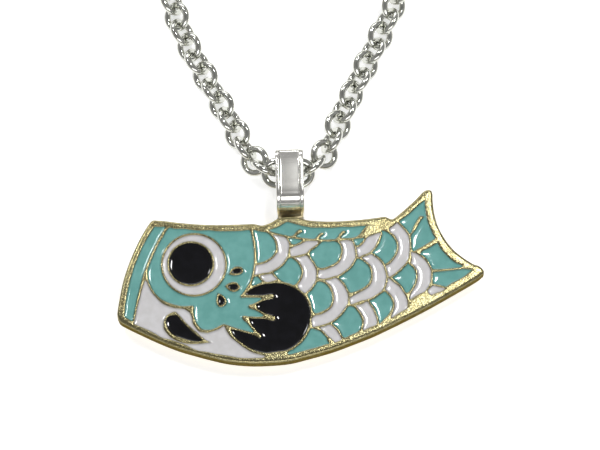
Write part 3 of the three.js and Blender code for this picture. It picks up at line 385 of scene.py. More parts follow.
def brass(name, light, dark, rough_lo, rough_hi, grain, grain_h, stain=0.5, rim=(1.0, 1.0, 1.0)):
    m, nt, b = material(name)
    v = coords(nt)
    fine = noise(nt, v, grain, 4.0, 0.62)
    mid = noise(nt, v, grain * 0.38, 3.0, 0.55)
    broad = noise(nt, v, 420.0, 3.0, 0.5, 0.4)
    base = ramp(nt, fine, [(0.34, dark), (0.60, light)])
    tint = ramp(nt, broad, [(0.35, (0.86, 0.80, 0.66)), (0.62, (1.0, 1.0, 1.0))])
    col = mix(nt, stain, base, tint, "MULTIPLY")
    nt.links.new(col, b.inputs["Base Color"])
    nt.links.new(mapr(nt, mid, 0.3, 0.7, rough_lo, rough_hi), b.inputs["Roughness"])
    b.inputs["Metallic"].default_value = 1.0
    b.inputs["Specular Tint"].default_value = (*rim, 1)
    add = nt.nodes.new("ShaderNodeMath")
    add.operation = "ADD"
    nt.links.new(fine, add.inputs[0])
    nt.links.new(mapr(nt, mid, 0.0, 1.0, 0.0, 1.6), add.inputs[1])
    bump(nt, b, add.outputs[0], 1.0, grain_h)
    return m


# Enamel with painted shade: the colour darkens towards the cell walls, reaching the third colour at the wall and fading
# out over the given spread of wall distance.
def enamel(name, deep, pale, edge, shade_spread=0.25, rough=0.08, speck=None, ior=1.5, coat=0.3):
    m, nt, b = material(name)
    v = coords(nt)
    n1 = noise(nt, v, 900.0, 3.0, 0.5)
    n2 = noise(nt, v, 6500.0, 2.0, 0.5)
    base = ramp(nt, n1, [(0.36, deep), (0.64, pale)])
    if speck:
        base = mix(nt, mapr(nt, n2, 0.66, 0.74, 0.0, 0.35), base, speck)
    # painted shade: a darker colour is mixed in near the cell walls, driven by the edge distance attribute
    col = mix(nt, mapr(nt, attribute(nt, "edge"), 0.0, shade_spread, 0.85, 0.0), base, edge)
    nt.links.new(col, b.inputs["Base Color"])
    nt.links.new(mapr(nt, n2, 0.3, 0.7, rough * 0.75, rough * 1.3), b.inputs["Roughness"])
    b.inputs["IOR"].default_value = ior
    b.inputs["Coat Weight"].default_value = coat
    b.inputs["Coat Roughness"].default_value = 0.04
    wav = noise(nt, v, 260.0, 2.0, 0.5)
    bump(nt, b, wav, 0.35, 0.00008)
    return m


def silver(name, tone, rough, scratch=0.5, bump_h=0.000006, dark=0.75):
    m, nt, b = material(name)
    v = coords(nt)
    vs = coords(nt, (1.0, 0.16, 0.6))
    n1 = noise(nt, v, 1300.0, 3.0, 0.55)
    n2 = noise(nt, vs, 9000.0, 3.0, 0.6)
    d = tuple(c * dark for c in tone)
    col = ramp(nt, n1, [(0.30, d), (0.58, tone)])
    nt.links.new(col, b.inputs["Base Color"])
    b.inputs["Metallic"].default_value = 1.0
    nt.links.new(mapr(nt, n2, 0.25, 0.75, rough * (1 - 0.5 * scratch), rough * (1 + 0.8 * scratch)), b.inputs["Roughness"])
    bump(nt, b, n2, 0.6, bump_h)
    return m


BRASS = brass("struck_brass", (0.395, 0.36, 0.20), (0.18, 0.158, 0.076), 0.19, 0.31, 9400.0, 0.000013)
# darker copy of the struck brass for the side wall: painted shade; it is also rougher than the face
BRASS_SIDE_PAINTED_SHADE = brass("brass_side_painted_shade", (0.24, 0.21, 0.115), (0.10, 0.085, 0.042), 0.30, 0.5, 3600.0, 0.000030, 0.7, (0.45, 0.38, 0.22))
# lighter copy of the struck brass: painted light on the back, the back edge and the wall that faces the bail
BRASS_BACK_PAINTED_LIGHT = brass("brass_back_painted_light", (0.74, 0.64, 0.38), (0.50, 0.41, 0.21), 0.32, 0.46, 2400.0, 0.000022)
# lighter copy of the struck brass on the cell walls and the hidden cell floors: painted light along the flanks of the
# raised lines
BRASS_WALL_PAINTED_LIGHT = brass("brass_cell_wall_painted_light", (0.60, 0.50, 0.28), (0.34, 0.27, 0.13), 0.36, 0.5, 5200.0, 0.00001)
# the third colour of each enamel is painted shade, laid on near the cell walls
TEAL = enamel("teal_enamel", (0.135, 0.360, 0.330), (0.165, 0.410, 0.380), (0.075, 0.21, 0.19), 0.20, 0.07, (0.20, 0.46, 0.43))
WHITE = enamel("white_enamel", (0.61, 0.60, 0.60), (0.67, 0.66, 0.67), (0.36, 0.35, 0.34), 0.24, 0.08)
BLACK = enamel("black_enamel", (0.002, 0.002, 0.003), (0.004, 0.004, 0.006), (0.002, 0.002, 0.002), 0.2, 0.05, (0.012, 0.012, 0.016), 1.42, 0.1)
SILVER = silver("polished_bail", (0.83, 0.82, 0.775), 0.215, 0.05, 0.0000001, 0.94)
CHAIN = silver("chain_steel", (0.62, 0.625, 0.575), 0.15, 0.06, 0.0000004, 0.86)
CLASP = silver("clasp_steel", (0.74, 0.73, 0.71), 0.17, 0.2, 0.000001)


def glue_material():
    m, nt, b = material("adhesive_film")
    v = coords(nt)
    n1 = noise(nt, v, 700.0, 4.0, 0.6)
    nt.links.new(ramp(nt, n1, [(0.3, (0.60, 0.54, 0.38)), (0.7, (0.78, 0.74, 0.60))]), b.inputs["Base Color"])
    nt.links.new(mapr(nt, n1, 0.3, 0.7, 0.18, 0.36), b.inputs["Roughness"])
    b.inputs["Transmission Weight"].default_value = 0.35
    bump(nt, b, n1, 0.6, 0.00004)
    return m


GLUE = glue_material()

# ------------------------------------------------------------------ chain (cords)
LINK_R, LINK_WIRE = 1.445, 0.41
PITCH = 2 * (LINK_R - LINK_WIRE) - 0.01
COIL = np.array([-1.1, 53.5])


def catmull(points, step):
    P = np.array(points, float)
    P = np.vstack([2 * P[0] - P[1], P, 2 * P[-1] - P[-2]])
    out = []
    for i in range(1, len(P) - 2):
        p0, p1, p2, p3 = P[i - 1], P[i], P[i + 1], P[i + 2]
        per = max(2, int(np.linalg.norm(p2 - p1) / step))
        t1 = max(np.linalg.norm(p1 - p0), 1e-6) ** 0.5
        t2 = t1 + max(np.linalg.norm(p2 - p1), 1e-6) ** 0.5
        t3 = t2 + max(np.linalg.norm(p3 - p2), 1e-6) ** 0.5
        for t in np.arange(per) / per:
            tt = t1 + (t2 - t1) * t
            A1 = (t1 - tt) / t1 * p0 + tt / t1 * p1
            A2 = (t2 - tt) / (t2 - t1) * p1 + (tt - t1) / (t2 - t1) * p2
            A3 = (t3 - tt) / (t3 - t2) * p2 + (tt - t2) / (t3 - t2) * p3
            B1 = (t2 - tt) / t2 * A1 + tt / t2 * A2
            B2 = (t3 - tt) / (t3 - t1) * A2 + (tt - t1) / (t3 - t1) * A3
            out.append((t2 - tt) / (t2 - t1) * B1 + (tt - t1) / (t2 - t1) * B2)
    out.append(P[-2])
    return np.array(out)


def even(line, step):
    s = np.r_[0, np.cumsum(np.linalg.norm(np.diff(line, axis=0), axis=1))]
    n = max(2, int(round(s[-1] / step)))
    t = np.linspace(0, s[-1], n + 1)
    return np.stack([np.interp(t, s, line[:, k]) for k in range(3)], 1), s[-1]


def bezier(p0, p1, p2, p3, n=24):
    t = np.linspace(0, 1, n)[:, None]
    return (1 - t) ** 3 * p0 + 3 * (1 - t) ** 2 * t * p1 + 3 * (1 - t) * t ** 2 * p2 + t ** 3 * p3


def coil_turns(phi0, sense, turns, rho0, pitch):
    n = int(turns * 60)
    a = np.linspace(0, turns * 360, n + 1)
    rho = rho0 - pitch * a / 360
    phi = np.radians(phi0 + sense * a)
    return np.stack([COIL[0] + rho * np.cos(phi), COIL[1] + rho * np.sin(phi)], 1)


Z_TABLE = 1.53
RHO0, TURN_PITCH = 17.5, 2.9
left_run = [(-1.9, 10.27, 2.67), (-2.94, 10.28, 2.62), (-4.35, 11.12, 2.25), (-5.52, 12.1, 1.9), (-6.62, 13.7, 1.62), (-7.7, 15.9, 1.48), (-9.6, 19.5, Z_TABLE),
            (-11.6, 23.2, Z_TABLE), (-13.66, 27.2, Z_TABLE), (-15.4, 32.0, Z_TABLE), (-16.8, 36.8, Z_TABLE), (-17.7, 41.5, Z_TABLE), (-18.05, 45.8, Z_TABLE)]
right_run = [(-0.5, 10.25, 2.67), (-0.1, 10.25, 2.66), (0.65, 10.6, 2.58), (1.4, 11.35, 2.35), (2.15, 12.15, 2.1), (2.95, 13.1, 1.85), (3.85, 15.2, 1.55), (4.75, 17.6, Z_TABLE), (5.75, 19.9, Z_TABLE),
             (7.6, 23.9, Z_TABLE), (9.4, 27.7, Z_TABLE), (11.3, 32.2, Z_TABLE), (13.0, 36.8, Z_TABLE), (14.4, 41.5, Z_TABLE), (15.4, 45.8, Z_TABLE)]
turn_l = coil_turns(195, -1, 1.5, RHO0, TURN_PITCH)
turn_r = coil_turns(-15, 1, 2.0, RHO0, TURN_PITCH)


def flat3(xy, z):
    return np.c_[xy, np.full(len(xy), z)]


def d2(phi, sense):
    a = math.radians(phi)
    return np.array([-math.sin(a), math.cos(a)]) * sense


end_l = turn_l[-1]
tail_l = bezier(end_l, end_l + 4.5 * d2(15, -1), COIL + np.array([7.2, -8.3]), COIL + np.array([0.35, -7.85]))
end_r = turn_r[-1]
tail_r = bezier(end_r, end_r + 4.5 * d2(-13, 1), COIL + np.array([7.9, 7.6]), COIL + np.array([2.2, 7.55]))
line_l = catmull(np.vstack([np.array(left_run), flat3(turn_l[1::3], Z_TABLE), flat3(tail_l[4::5], Z_TABLE), [[*(COIL + np.array([0.35, -7.85])), 1.44]]]), 0.25)
xy_r = np.vstack([turn_r[1::3], tail_r[4::5], [COIL + np.array([2.2, 7.55])]])
line_r = catmull(np.vstack([np.array(right_run), flat3(xy_r, Z_TABLE)]), 0.25)
path_l, len_l = even(line_l, 0.5)
path_r, len_r = even(line_r, 0.5)
# the second strand rides over the first where they meet
lift = np.zeros(len(path_r))
first = path_l[:, :2]
for k in range(len(path_r)):
    if k * 0.5 < 38.0:
        continue
    d = np.sqrt(((first - path_r[k, :2]) ** 2).sum(1)).min()
    lift[k] = math.sqrt(max(0.0, 2.8 ** 2 - min(d, 2.8) ** 2)) if d < 2.8 else 0.0
kernel = np.hanning(13)
kernel /= kernel.sum()
lift = np.maximum(np.convolve(np.pad(lift, 6, mode="edge"), kernel, "valid"), lift * 0.97)
lift = np.convolve(np.pad(lift, 6, mode="edge"), kernel, "valid")
path_r[:, 2] += lift
path_r, len_r = even(path_r, 0.5)
path_l[:, 2] = np.maximum(path_l[:, 2], 1.43)


def torus(R, r, n, m, squash=1.0):
    a = np.arange(n) * 2 * np.pi / n
    b = np.arange(m) * 2 * np.pi / m
    A, B = np.meshgrid(a, b, indexing="ij")
    V = np.stack([(R + r * np.cos(B)) * np.cos(A), (R + r * np.cos(B)) * np.sin(A) * squash, r * np.sin(B)], -1).reshape(-1, 3)
    F = []
    for i in range(n):
        for j in range(m):
            F.append((i * m + j, ((i + 1) % n) * m + j, ((i + 1) % n) * m + (j + 1) % m, i * m + (j + 1) % m))
    return V, np.array(F)


def chain_mesh(path, roll_near, roll_far, seed, first, swing=4.0):
    """Rolo links threaded along the path; each lies in a plane that holds the path's direction."""
    s = np.r_[0, np.cumsum(np.linalg.norm(np.diff(path, axis=0), axis=1))]
    count = int(round((s[-1] - PITCH / 2 - first[-1]) / PITCH))
    pitch = (s[-1] - PITCH / 2 - first[-1]) / count
    centres = list(first) + [first[-1] + pitch * (k + 1) for k in range(count)]
    rng = np.random.default_rng(seed)
    VV, FF, at = [], [], 0
    for k, m in enumerate(centres):
        p = np.array([np.interp(m, s, path[:, c]) for c in range(3)])
        q = np.array([np.interp(m + 0.6, s, path[:, c]) for c in range(3)])
        o = np.array([np.interp(m - 0.6, s, path[:, c]) for c in range(3)])
        t = q - o
        t /= np.linalg.norm(t)
        side = np.cross(t, (0, 0, 1))
        side /= np.linalg.norm(side)
        up = np.cross(side, t)
        far = min(1.0, max(0.0, (m - 3) / 7))
        roll = (roll_near * (1 - far) + roll_far * far) + rng.uniform(-swing, swing)
        ang = math.radians(roll if k % 2 == 0 else roll - 90)
        u = side * math.cos(ang) + up * math.sin(ang)
        w = np.cross(t, u)
        n, mm = (30, 12) if m < 32 else (20, 8)
        V, F = torus(LINK_R, LINK_WIRE, n, mm)
        spin = rng.uniform(-0.04, 0.04)
        c_, s_ = math.cos(spin), math.sin(spin)
        t2, u2 = t * c_ + u * s_, u * c_ - t * s_
        P = p + V[:, :1] * t2 + V[:, 1:2] * u2 + V[:, 2:3] * w
        VV.append(P)
        FF.append(F + at)
        at += len(P)
    return np.vstack(VV) * MM, np.vstack(FF)


V, F = chain_mesh(path_l, 25.0, 43.0, 11, (1.04, 2.72, 4.2, 6.2))
strand_l = new_object("chain_strand_left", V, F, [CHAIN])
V, F = chain_mesh(path_r, -25.0, -43.0, 12, (0.4, 2.35))
strand_r = new_object("chain_strand_right", V, F, [CHAIN])
for ob, nodes in ((strand_l, ("chain_run_left", "chain_coil", "chain_tail_left")), (strand_r, ("chain_run_right", "chain_tail_right"))):
    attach(ob, "chain")
    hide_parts(*nodes)

# ------------------------------------------------------------------ struck brass plate
BACK, FACE, FLOOR_Z = 1.0, 2.8, 2.25
ROUND_R = 0.10      # rounding of the raised lines
RIM_R = 0.40        # rounding of the plate's upper edge
all_loops = [outline] + list(cells.values()) + list(rims.values())
walls = list(cells.values()) + list(rims.values())



def thin_lines(loops, keep=0.235, most=0.11):
    """Widens the cells where two of them share a raised line, so that the line keeps the given width."""
    names = list(loops)
    out = {}
    for a in names:
        lp = loops[a]
        gap = np.full(len(lp), 1.2)
        for b in names:
            if b != a:
                gap = np.minimum(gap, distance(lp, loops[b], 1.2))
        w = np.clip((gap - keep) / 2, 0, most) * np.clip((0.95 - gap) / 0.3, 0, 1)
        k = np.hanning(13)
        k /= k.sum()
        w = np.convolve(np.r_[w[-6:], w, w[:6]], k, "valid")
        out[a] = unkink(offset_points(lp, (w if a in rims else -w)[:, None]))
    return out


slim = thin_lines({**cells, **rims})
cells = {k: slim[k] for k in cells}
rims = {k: slim[k] for k in rims}
walls = list(cells.values()) + list(rims.values())
all_loops = [outline] + walls

loose = []
for lp in walls:
    for d in (0.035, 0.08, 0.14):
        for sgn in (1, -1):
            loose.append(offset_points(lp, d * sgn))
for d in (0.03, 0.07, 0.13, 0.21, 0.30, 0.40):
    loose.append(offset_points(outline, d))
gx = np.arange(outline[:, 0].min(), outline[:, 0].max(), 0.22)
gy = np.arange(outline[:, 1].min(), outline[:, 1].max(), 0.19)
GX, GY = np.meshgrid(gx, gy)
GX[::2] += 0.11
loose.append(np.stack([GX.ravel(), GY.ravel()], 1))
loose = np.vstack(loose)


def metal_test(p):
    k = inside(p, outline).astype(int)
    for lp in walls:
        k += inside(p, lp).astype(int)
    return k % 2 == 1


loose = loose[metal_test(loose)]
wall_d = np.full(len(loose), 9.0)
for lp in walls:
    wall_d = np.minimum(wall_d, distance(loose, lp, 1.0))
edge_d = distance(loose, outline, 1.0)
ok = (wall_d > 0.028) & (edge_d > 0.025)
loose, wall_d, edge_d = loose[ok], wall_d[ok], edge_d[ok]
order = np.argsort(np.minimum(np.round(wall_d, 2), 0.3), kind="stable")
loose = thin(loose[order], 0.05)
PV, PF, rings = triangulate(all_loops, loose)
cent = PV[PF].mean(1)
metal = metal_test(cent)
wd = np.full(len(PV), 1.0)
for lp in walls:
    wd = np.minimum(wd, distance(PV, lp, 1.0))
ed = distance(PV, outline, 1.0)


def struck_height(w, e, xy):
    """Height of the struck face from its distances to the nearest cell and to the outline."""
    a = np.clip(w / ROUND_R, 0, 1)
    h = -0.75 * ROUND_R * (1 - np.sqrt(np.clip(1 - (1 - a) ** 2, 0, 1)))
    b = np.clip(e / RIM_R, 0, 1)
    h += -0.20 * (1 - np.sqrt(np.clip(1 - (1 - b) ** 2, 0, 1)))
    x, y = xy[:, 0], xy[:, 1]
    h += 0.012 * np.sin(1.7 * x + 0.4 * y) * np.cos(1.3 * y - 0.5 * x) * np.clip((w - 0.1) / 0.3, 0, 1)
    return h


top_z = FACE + struck_height(wd, ed, PV)
used = np.zeros(len(PV), bool)
used[PF[metal].ravel()] = True
index = -np.ones(len(PV), int)
index[used] = np.arange(used.sum())
verts = [np.c_[PV[used], top_z[used]]]
faces = [index[PF[metal]].tolist()]
mats = [0] * int(metal.sum())
faces = [tuple(f) for f in faces[0]]
nv = int(used.sum())
ring_of = dict(zip(["outline"] + list(cells) + list(rims), rings))


def add_ring(points):
    global nv
    verts.append(np.asarray(points, float))
    ids = list(range(nv, nv + len(points)))
    nv += len(points)
    return ids


def strip(a, b, mat, flip=False):
    n = len(a)
    for i in range(n):
        j = (i + 1) % n
        q = (a[i], a[j], b[j], b[i])
        faces.append(q[::-1] if flip else q)
        mats.append(mat)


# cell walls down to their floors
floors = {}
for name in list(cells) + list(rims):
    ring = ring_of[name]
    lp = PV[ring]
    rim_like = name in rims
    lower = add_ring(np.c_[offset_points(lp, 0.0), np.full(len(lp), FLOOR_Z)])
    floors[name] = lower
    strip([index[i] for i in ring], lower, 3, flip=rim_like)
# floors of the cells, hidden under the enamel
flat_v = None
for name in cells:
    loops = [PV[ring_of[name]]] + [PV[ring_of[r]][::-1] for r in RIMS_IN.get(name, [])]
    ids = list(floors[name])
    for r in RIMS_IN.get(name, []):
        ids += list(floors[r])[::-1]
    V2, F2, rr = triangulate(loops, np.zeros((0, 2)))
    back_of = {}
    k = 0
    for ring in rr:
        for i in ring:
            back_of[i] = ids[k]
            k += 1
    c2 = V2[F2].mean(1)
    keep = inside(c2, loops[0])
    for lp in loops[1:]:
        keep &= ~inside(c2, lp)
    for f in F2[keep]:
        if all(i in back_of for i in f):
            a_, b_, c_ = (V2[i] for i in f)
            up = (b_[0] - a_[0]) * (c_[1] - a_[1]) - (b_[1] - a_[1]) * (c_[0] - a_[0]) > 0
            t = [back_of[i] for i in f]
            faces.append(tuple(t if up else t[::-1]))
            mats.append(3)
# the side wall, with the shallow draft a trimming die leaves, and the back
oring = ring_of["outline"]
op = PV[oring]
prev = [index[i] for i in oring]
across = np.roll(op, -1, 0) - op
# the stretch of side wall that faces the bail takes the lighter brass copy: painted light to lift the shade between the
# bail and the plate
bail_wall_painted_light = (across[:, 0] < 0) & (np.abs(op[:, 0] + 1.2) < 2.6) & (op[:, 1] > 0)
for z, d in ((2.40, -0.004), (2.05, 0.0), (1.55, 0.006), (1.16, 0.008), (1.06, 0.03), (1.01, 0.07), (BACK, 0.14)):
    ring = add_ring(np.c_[offset_points(op, d), np.full(len(op), z)])
    # upper wall rings take the darker brass copy (painted shade), the lowest rings at the back edge the lighter copy
    # (painted light)
    strip(prev, ring, 1 if z > 1.03 else 2, flip=True)
    if z > 1.03:
        for k in range(len(op)):
            if bail_wall_painted_light[k]:
                mats[len(mats) - len(op) + k] = 2
    prev = ring
back_loop = offset_points(op, 0.14)
bx = np.arange(back_loop[:, 0].min(), back_loop[:, 0].max(), 0.5)
by = np.arange(back_loop[:, 1].min(), back_loop[:, 1].max(), 0.45)
BX, BY = np.meshgrid(bx, by)
BX[::2] += 0.25
bp = np.stack([BX.ravel(), BY.ravel()], 1)
bp = bp[inside(bp, back_loop)]
bp = bp[distance(bp, back_loop, 1.0) > 0.2]
V3, F3, rr = triangulate([back_loop], bp)
base = nv
extra_ids = {}
back_of = {i: prev[k] for k, i in enumerate(rr[0])}
fresh = [i for i in range(len(V3)) if i not in back_of]
ids = add_ring([(V3[i][0], V3[i][1], BACK + 0.012 * math.sin(1.1 * V3[i][0]) * math.sin(0.9 * V3[i][1] + 1)) for i in fresh])
for i, k in zip(fresh, ids):
    back_of[i] = k
keep = inside(V3[F3].mean(1), back_loop)
for f in F3[keep]:
    a_, b_, c_ = (V3[i] for i in f)
    up = (b_[0] - a_[0]) * (c_[1] - a_[1]) - (b_[1] - a_[1]) * (c_[0] - a_[0]) > 0
    t = [back_of[i] for i in f]
    faces.append(tuple(t[::-1] if up else t))
    mats.append(2)
# upward faces point up
fixed = []
VV = np.vstack(verts)
for k, f in enumerate(faces):
    if k < int(metal.sum()):
        a_, b_, c_ = (VV[i] for i in f)
        if (b_[0] - a_[0]) * (c_[1] - a_[1]) - (b_[1] - a_[1]) * (c_[0] - a_[0]) < 0:
            f = f[::-1]
    fixed.append(f)
plate = new_object("carp_plate_struck", VV * MM, fixed, [BRASS, BRASS_SIDE_PAINTED_SHADE, BRASS_BACK_PAINTED_LIGHT, BRASS_WALL_PAINTED_LIGHT], True, mats)
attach(plate, "pendant")
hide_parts("carp_plate")



def meniscus(V, F, held, lift, length):
    """Height of a liquid film that climbs its walls: z - length^2 * laplacian(z) = 0 with z = lift at the walls."""
    n = len(V)
    I, J, W = [], [], []
    mass = np.zeros(n)
    for a, b, c in ((0, 1, 2), (1, 2, 0), (2, 0, 1)):
        p, q, o = V[F[:, a]], V[F[:, b]], V[F[:, c]]
        u, v = p - o, q - o
        cr = np.abs(u[:, 0] * v[:, 1] - u[:, 1] * v[:, 0])
        cot = (u * v).sum(1) / np.maximum(cr, 1e-9)
        I += [F[:, a], F[:, b]]
        J += [F[:, b], F[:, a]]
        W += [np.clip(cot, 0.0, 20.0) / 2] * 2
        np.add.at(mass, F[:, a], cr / 6)
    I, J, W = np.concatenate(I), np.concatenate(J), np.concatenate(W)
    deg = np.bincount(I, W, n)
    l2 = length * length
    free = np.ones(n)
    free[held] = 0

    def A(x):
        return free * (mass * x + l2 * (deg * x - np.bincount(I, W * x[J], n)))
    z = np.zeros(n)
    z[held] = lift
    rr = -A(z)
    d = rr / np.maximum(mass + l2 * deg, 1e-12)
    pre = 1 / np.maximum(mass + l2 * deg, 1e-12)
    y = pre * rr
    d = y.copy()
    ry = float(rr @ y)
    for _ in range(160):
        Ad = A(d)
        den = float(d @ Ad)
        if abs(den) < 1e-18:
            break
        al = ry / den
        z += al * d
        rr -= al * Ad
        y = pre * rr
        new = float(rr @ y)
        if new < 1e-14:
            break
        d = y + (new / ry) * d
        ry = new
    return z


# ------------------------------------------------------------------ enamel
LEVEL = {"teal": 2.59, "white": 2.595, "black": 2.60}
COLOURS = {"teal": TEAL, "white": WHITE, "black": BLACK}
for name, lp in cells.items():
    colour = name.split("_")[0]
    holes = [rims[r] for r in RIMS_IN.get(name, [])]
    body = offset_points(lp, 0.004)
    inner = [offset_points(h, -0.004) for h in holes]
    size = math.sqrt(abs(signed_area(lp)))
    pts = []
    for d in (0.03, 0.065, 0.11, 0.17, 0.25, 0.36, 0.5, 0.7):
        pts.append(offset_points(lp, d))
        for h in holes:
            pts.append(offset_points(h, -d))
    step = 0.3
    X, Y = np.meshgrid(np.arange(lp[:, 0].min(), lp[:, 0].max(), step), np.arange(lp[:, 1].min(), lp[:, 1].max(), step))
    X[::2] += step / 2
    pts.append(np.stack([X.ravel(), Y.ravel()], 1))
    pts = np.vstack(pts)
    keep = inside(pts, body)
    for h in inner:
        keep &= ~inside(pts, h)
    pts = pts[keep]
    dd = distance(pts, lp, 2.0)
    for h in holes:
        dd = np.minimum(dd, distance(pts, h, 2.0))
    pts, dd = pts[dd > 0.022], dd[dd > 0.022]
    pts = pts[np.argsort(np.minimum(np.round(dd, 2), 0.8), kind="stable")]
    pts = thin(pts, 0.055)
    V4, F4, rr = triangulate([body] + inner, pts)
    c4 = V4[F4].mean(1)
    keep = inside(c4, body)
    for h in inner:
        keep &= ~inside(c4, h)
    F4 = F4[keep]
    d4 = distance(V4, lp, 3.0)
    for h in holes:
        d4 = np.minimum(d4, distance(V4, h, 3.0))
    mid = float(d4.max())
    low = LEVEL[colour]
    held = np.concatenate(rr)
    z = low + meniscus(V4, F4, held, 0.105, 0.40) + meniscus(V4, F4, held, 0.045, 0.09)
    # orientation and solid with its sides and underside
    good = []
    for f in F4:
        a_, b_, c_ = (V4[i] for i in f)
        good.append(tuple(f) if (b_[0] - a_[0]) * (c_[1] - a_[1]) - (b_[1] - a_[1]) * (c_[0] - a_[0]) > 0 else tuple(f[::-1]))
    n4 = len(V4)
    vv = np.vstack([np.c_[V4, z], np.c_[V4, np.full(n4, 2.27)]])
    ff = list(good)
    for k, ring in enumerate(rr):
        m = len(ring)
        for i in range(m):
            a_, b_ = ring[i], ring[(i + 1) % m]
            q = (a_, a_ + n4, b_ + n4, b_)
            ff.append(q if k == 0 else q[::-1])
    ff += [tuple(i + n4 for i in f[::-1]) for f in good]
    ob = new_object("soft_enamel_" + name, vv * MM, ff, [COLOURS[colour]])
    # distance from the nearest wall, which the enamel material reads to paint shade near the walls
    at = ob.data.attributes.new("edge", "FLOAT", "POINT")
    at.data.foreach_set("value", np.r_[d4, d4].astype(np.float32))
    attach(ob, "pendant")
    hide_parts("enamel_" + name)

# ------------------------------------------------------------------ bail: one folded strap
BX0, BY0, LEAN = -1.2, 5.0, math.radians(1.6)
strap = [(-5.95, 0.41), (-3.0, 0.41), (1.0, 0.41), (5.0, 0.41), (8.0, 0.41), (10.6, 0.41), (11.7, 0.58), (12.37, 1.20), (12.555, 2.0), (12.555, 3.4), (12.37, 4.3), (11.8, 4.83), (10.9, 4.95),
         (9.0, 4.95), (7.8, 4.95), (6.95, 4.80), (6.25, 4.2), (5.85, 3.2), (5.69, 2.15), (5.66, 1.35), (5.66, 0.90)]
line = catmull([(0.0, y, z) for y, z in strap], 0.16)
line, strap_len = even(line, 0.2)
sarc = np.r_[0, np.cumsum(np.linalg.norm(np.diff(line, axis=0), axis=1))]
# where the front panel begins and ends along the strap
front = [k for k, (x, y, z) in enumerate(line) if z > 4.5]
HALF_W, HALF_T, CR = 1.65, 0.40, 0.17
section = []
for cx, cz, a0 in ((HALF_W - CR, HALF_T - CR, 0), (-(HALF_W - CR), HALF_T - CR, 90), (-(HALF_W - CR), -(HALF_T - CR), 180), (HALF_W - CR, -(HALF_T - CR), 270)):
    for k in range(5):
        a = math.radians(a0 + 22.5 * k)
        section.append((cx + CR * math.cos(a), cz + CR * math.sin(a), 0.0))
    if a0 == 0:
        for x, d in ((1.34, 0.0), (1.24, 0.03), (1.17, 0.35), (1.13, 0.8), (1.07, 0.97), (0.95, 0.965), (0.6, 0.945), (0.3, 0.935), (0.0, 0.93), (-0.3, 0.935), (-0.6, 0.945), (-0.95, 0.965), (-1.07, 0.97), (-1.13, 0.8), (-1.17, 0.35), (-1.24, 0.03), (-1.34, 0.0)):
            section.append((x, HALF_T, d))
m = len(section)
VB, FB = [], []
for k in range(len(line)):
    p = line[k]
    t = line[min(k + 1, len(line) - 1)] - line[max(k - 1, 0)]
    t /= np.linalg.norm(t)
    n = np.array([0.0, t[2], -t[1]])          # outward on the loop
    y, z = p[1], p[2]
    s = sarc[k]
    # panel: full depth on the front, stepping up a little where the strap turns back
    f0, f1 = sarc[front[0]] + 0.15, sarc[front[-1]] - 0.35
    ramp_in = min(1.0, max(0.0, (s - f0) / 0.25))
    step_up = min(1.0, max(0.0, (f1 - s) / 0.18))
    tail_c = min(1.0, max(0.0, (sarc[-1] - 0.5 - s) / 0.4))
    depth = 0.20 * ramp_in * (0.42 + 0.58 * step_up) * tail_c
    for x, c, d in section:
        inner_bulge = 0.0
        VB.append((x, p[1] + n[1] * (c - d * depth), p[2] + n[2] * (c - d * depth)))
for k in range(len(line) - 1):
    for j in range(m):
        a_, b_ = k * m + j, k * m + (j + 1) % m
        FB.append((a_, b_, b_ + m, a_ + m))
# rounded ends
for k, inv in ((0, False), (len(line) - 1, True)):
    ring = [k * m + j for j in range(m)]
    p = line[k]
    t = (line[1] - line[0]) if k == 0 else (line[-1] - line[-2])
    t /= np.linalg.norm(t)
    sgn = -1 if k == 0 else 1
    prev = ring
    for f, e in ((0.94, 0.05), (0.8, 0.1)):
        base = len(VB)
        cen = np.mean([VB[i] for i in ring], axis=0)
        for i in ring:
            q = cen + (np.array(VB[i]) - cen) * (f if True else 1)
            q = np.array(VB[i]) * 0 + cen + (np.array(VB[i]) - cen) * np.array([1 - (1 - f) * 0.25, f, f])
            VB.append(tuple(q + sgn * t * e))
        nxt = list(range(base, base + m))
        for j in range(m):
            q = (prev[j], prev[(j + 1) % m], nxt[(j + 1) % m], nxt[j])
            FB.append(q if inv else q[::-1])
        prev = nxt
    FB.append(tuple(prev if inv else prev[::-1]))
VB = np.array(VB)
over = np.clip((VB[:, 1] - 12.45) / 0.52, 0, 1)
VB[:, 0] *= 1 - 0.30 * (1 - np.sqrt(1 - over ** 2 * 0.96))
c_, s_ = math.cos(LEAN), math.sin(LEAN)
yy = VB[:, 1] - BY0
VB = np.c_[BX0 + VB[:, 0] * c_ - yy * s_, BY0 + VB[:, 0] * s_ + yy * c_, VB[:, 2]]
bail = new_object("bail_strap", VB * MM, FB, [SILVER])
bm = bmesh.new()
bm.from_mesh(bail.data)
bmesh.ops.recalc_face_normals(bm, faces=bm.faces)
bm.to_mesh(bail.data)
bm.free()
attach(bail, "pendant")
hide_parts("bail")


def dress(node, mat):
    ob = NODES[node]
    ob.data.materials.clear()
    ob.data.materials.append(mat)


dress("bail_adhesive", GLUE)


def ring_piece(name, node, at, R, r, turn, tilt, mat, body):
    V, F = torus(R, r, 40, 14)
    mt = Matrix.Rotation(math.radians(turn), 3, "Z") @ Matrix.Rotation(math.radians(tilt), 3, "X")
    V = V @ np.array(mt).T + np.array(at)
    ob = new_object(name, V * MM, F, [mat])
    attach(ob, body)
    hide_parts(node)
    return ob


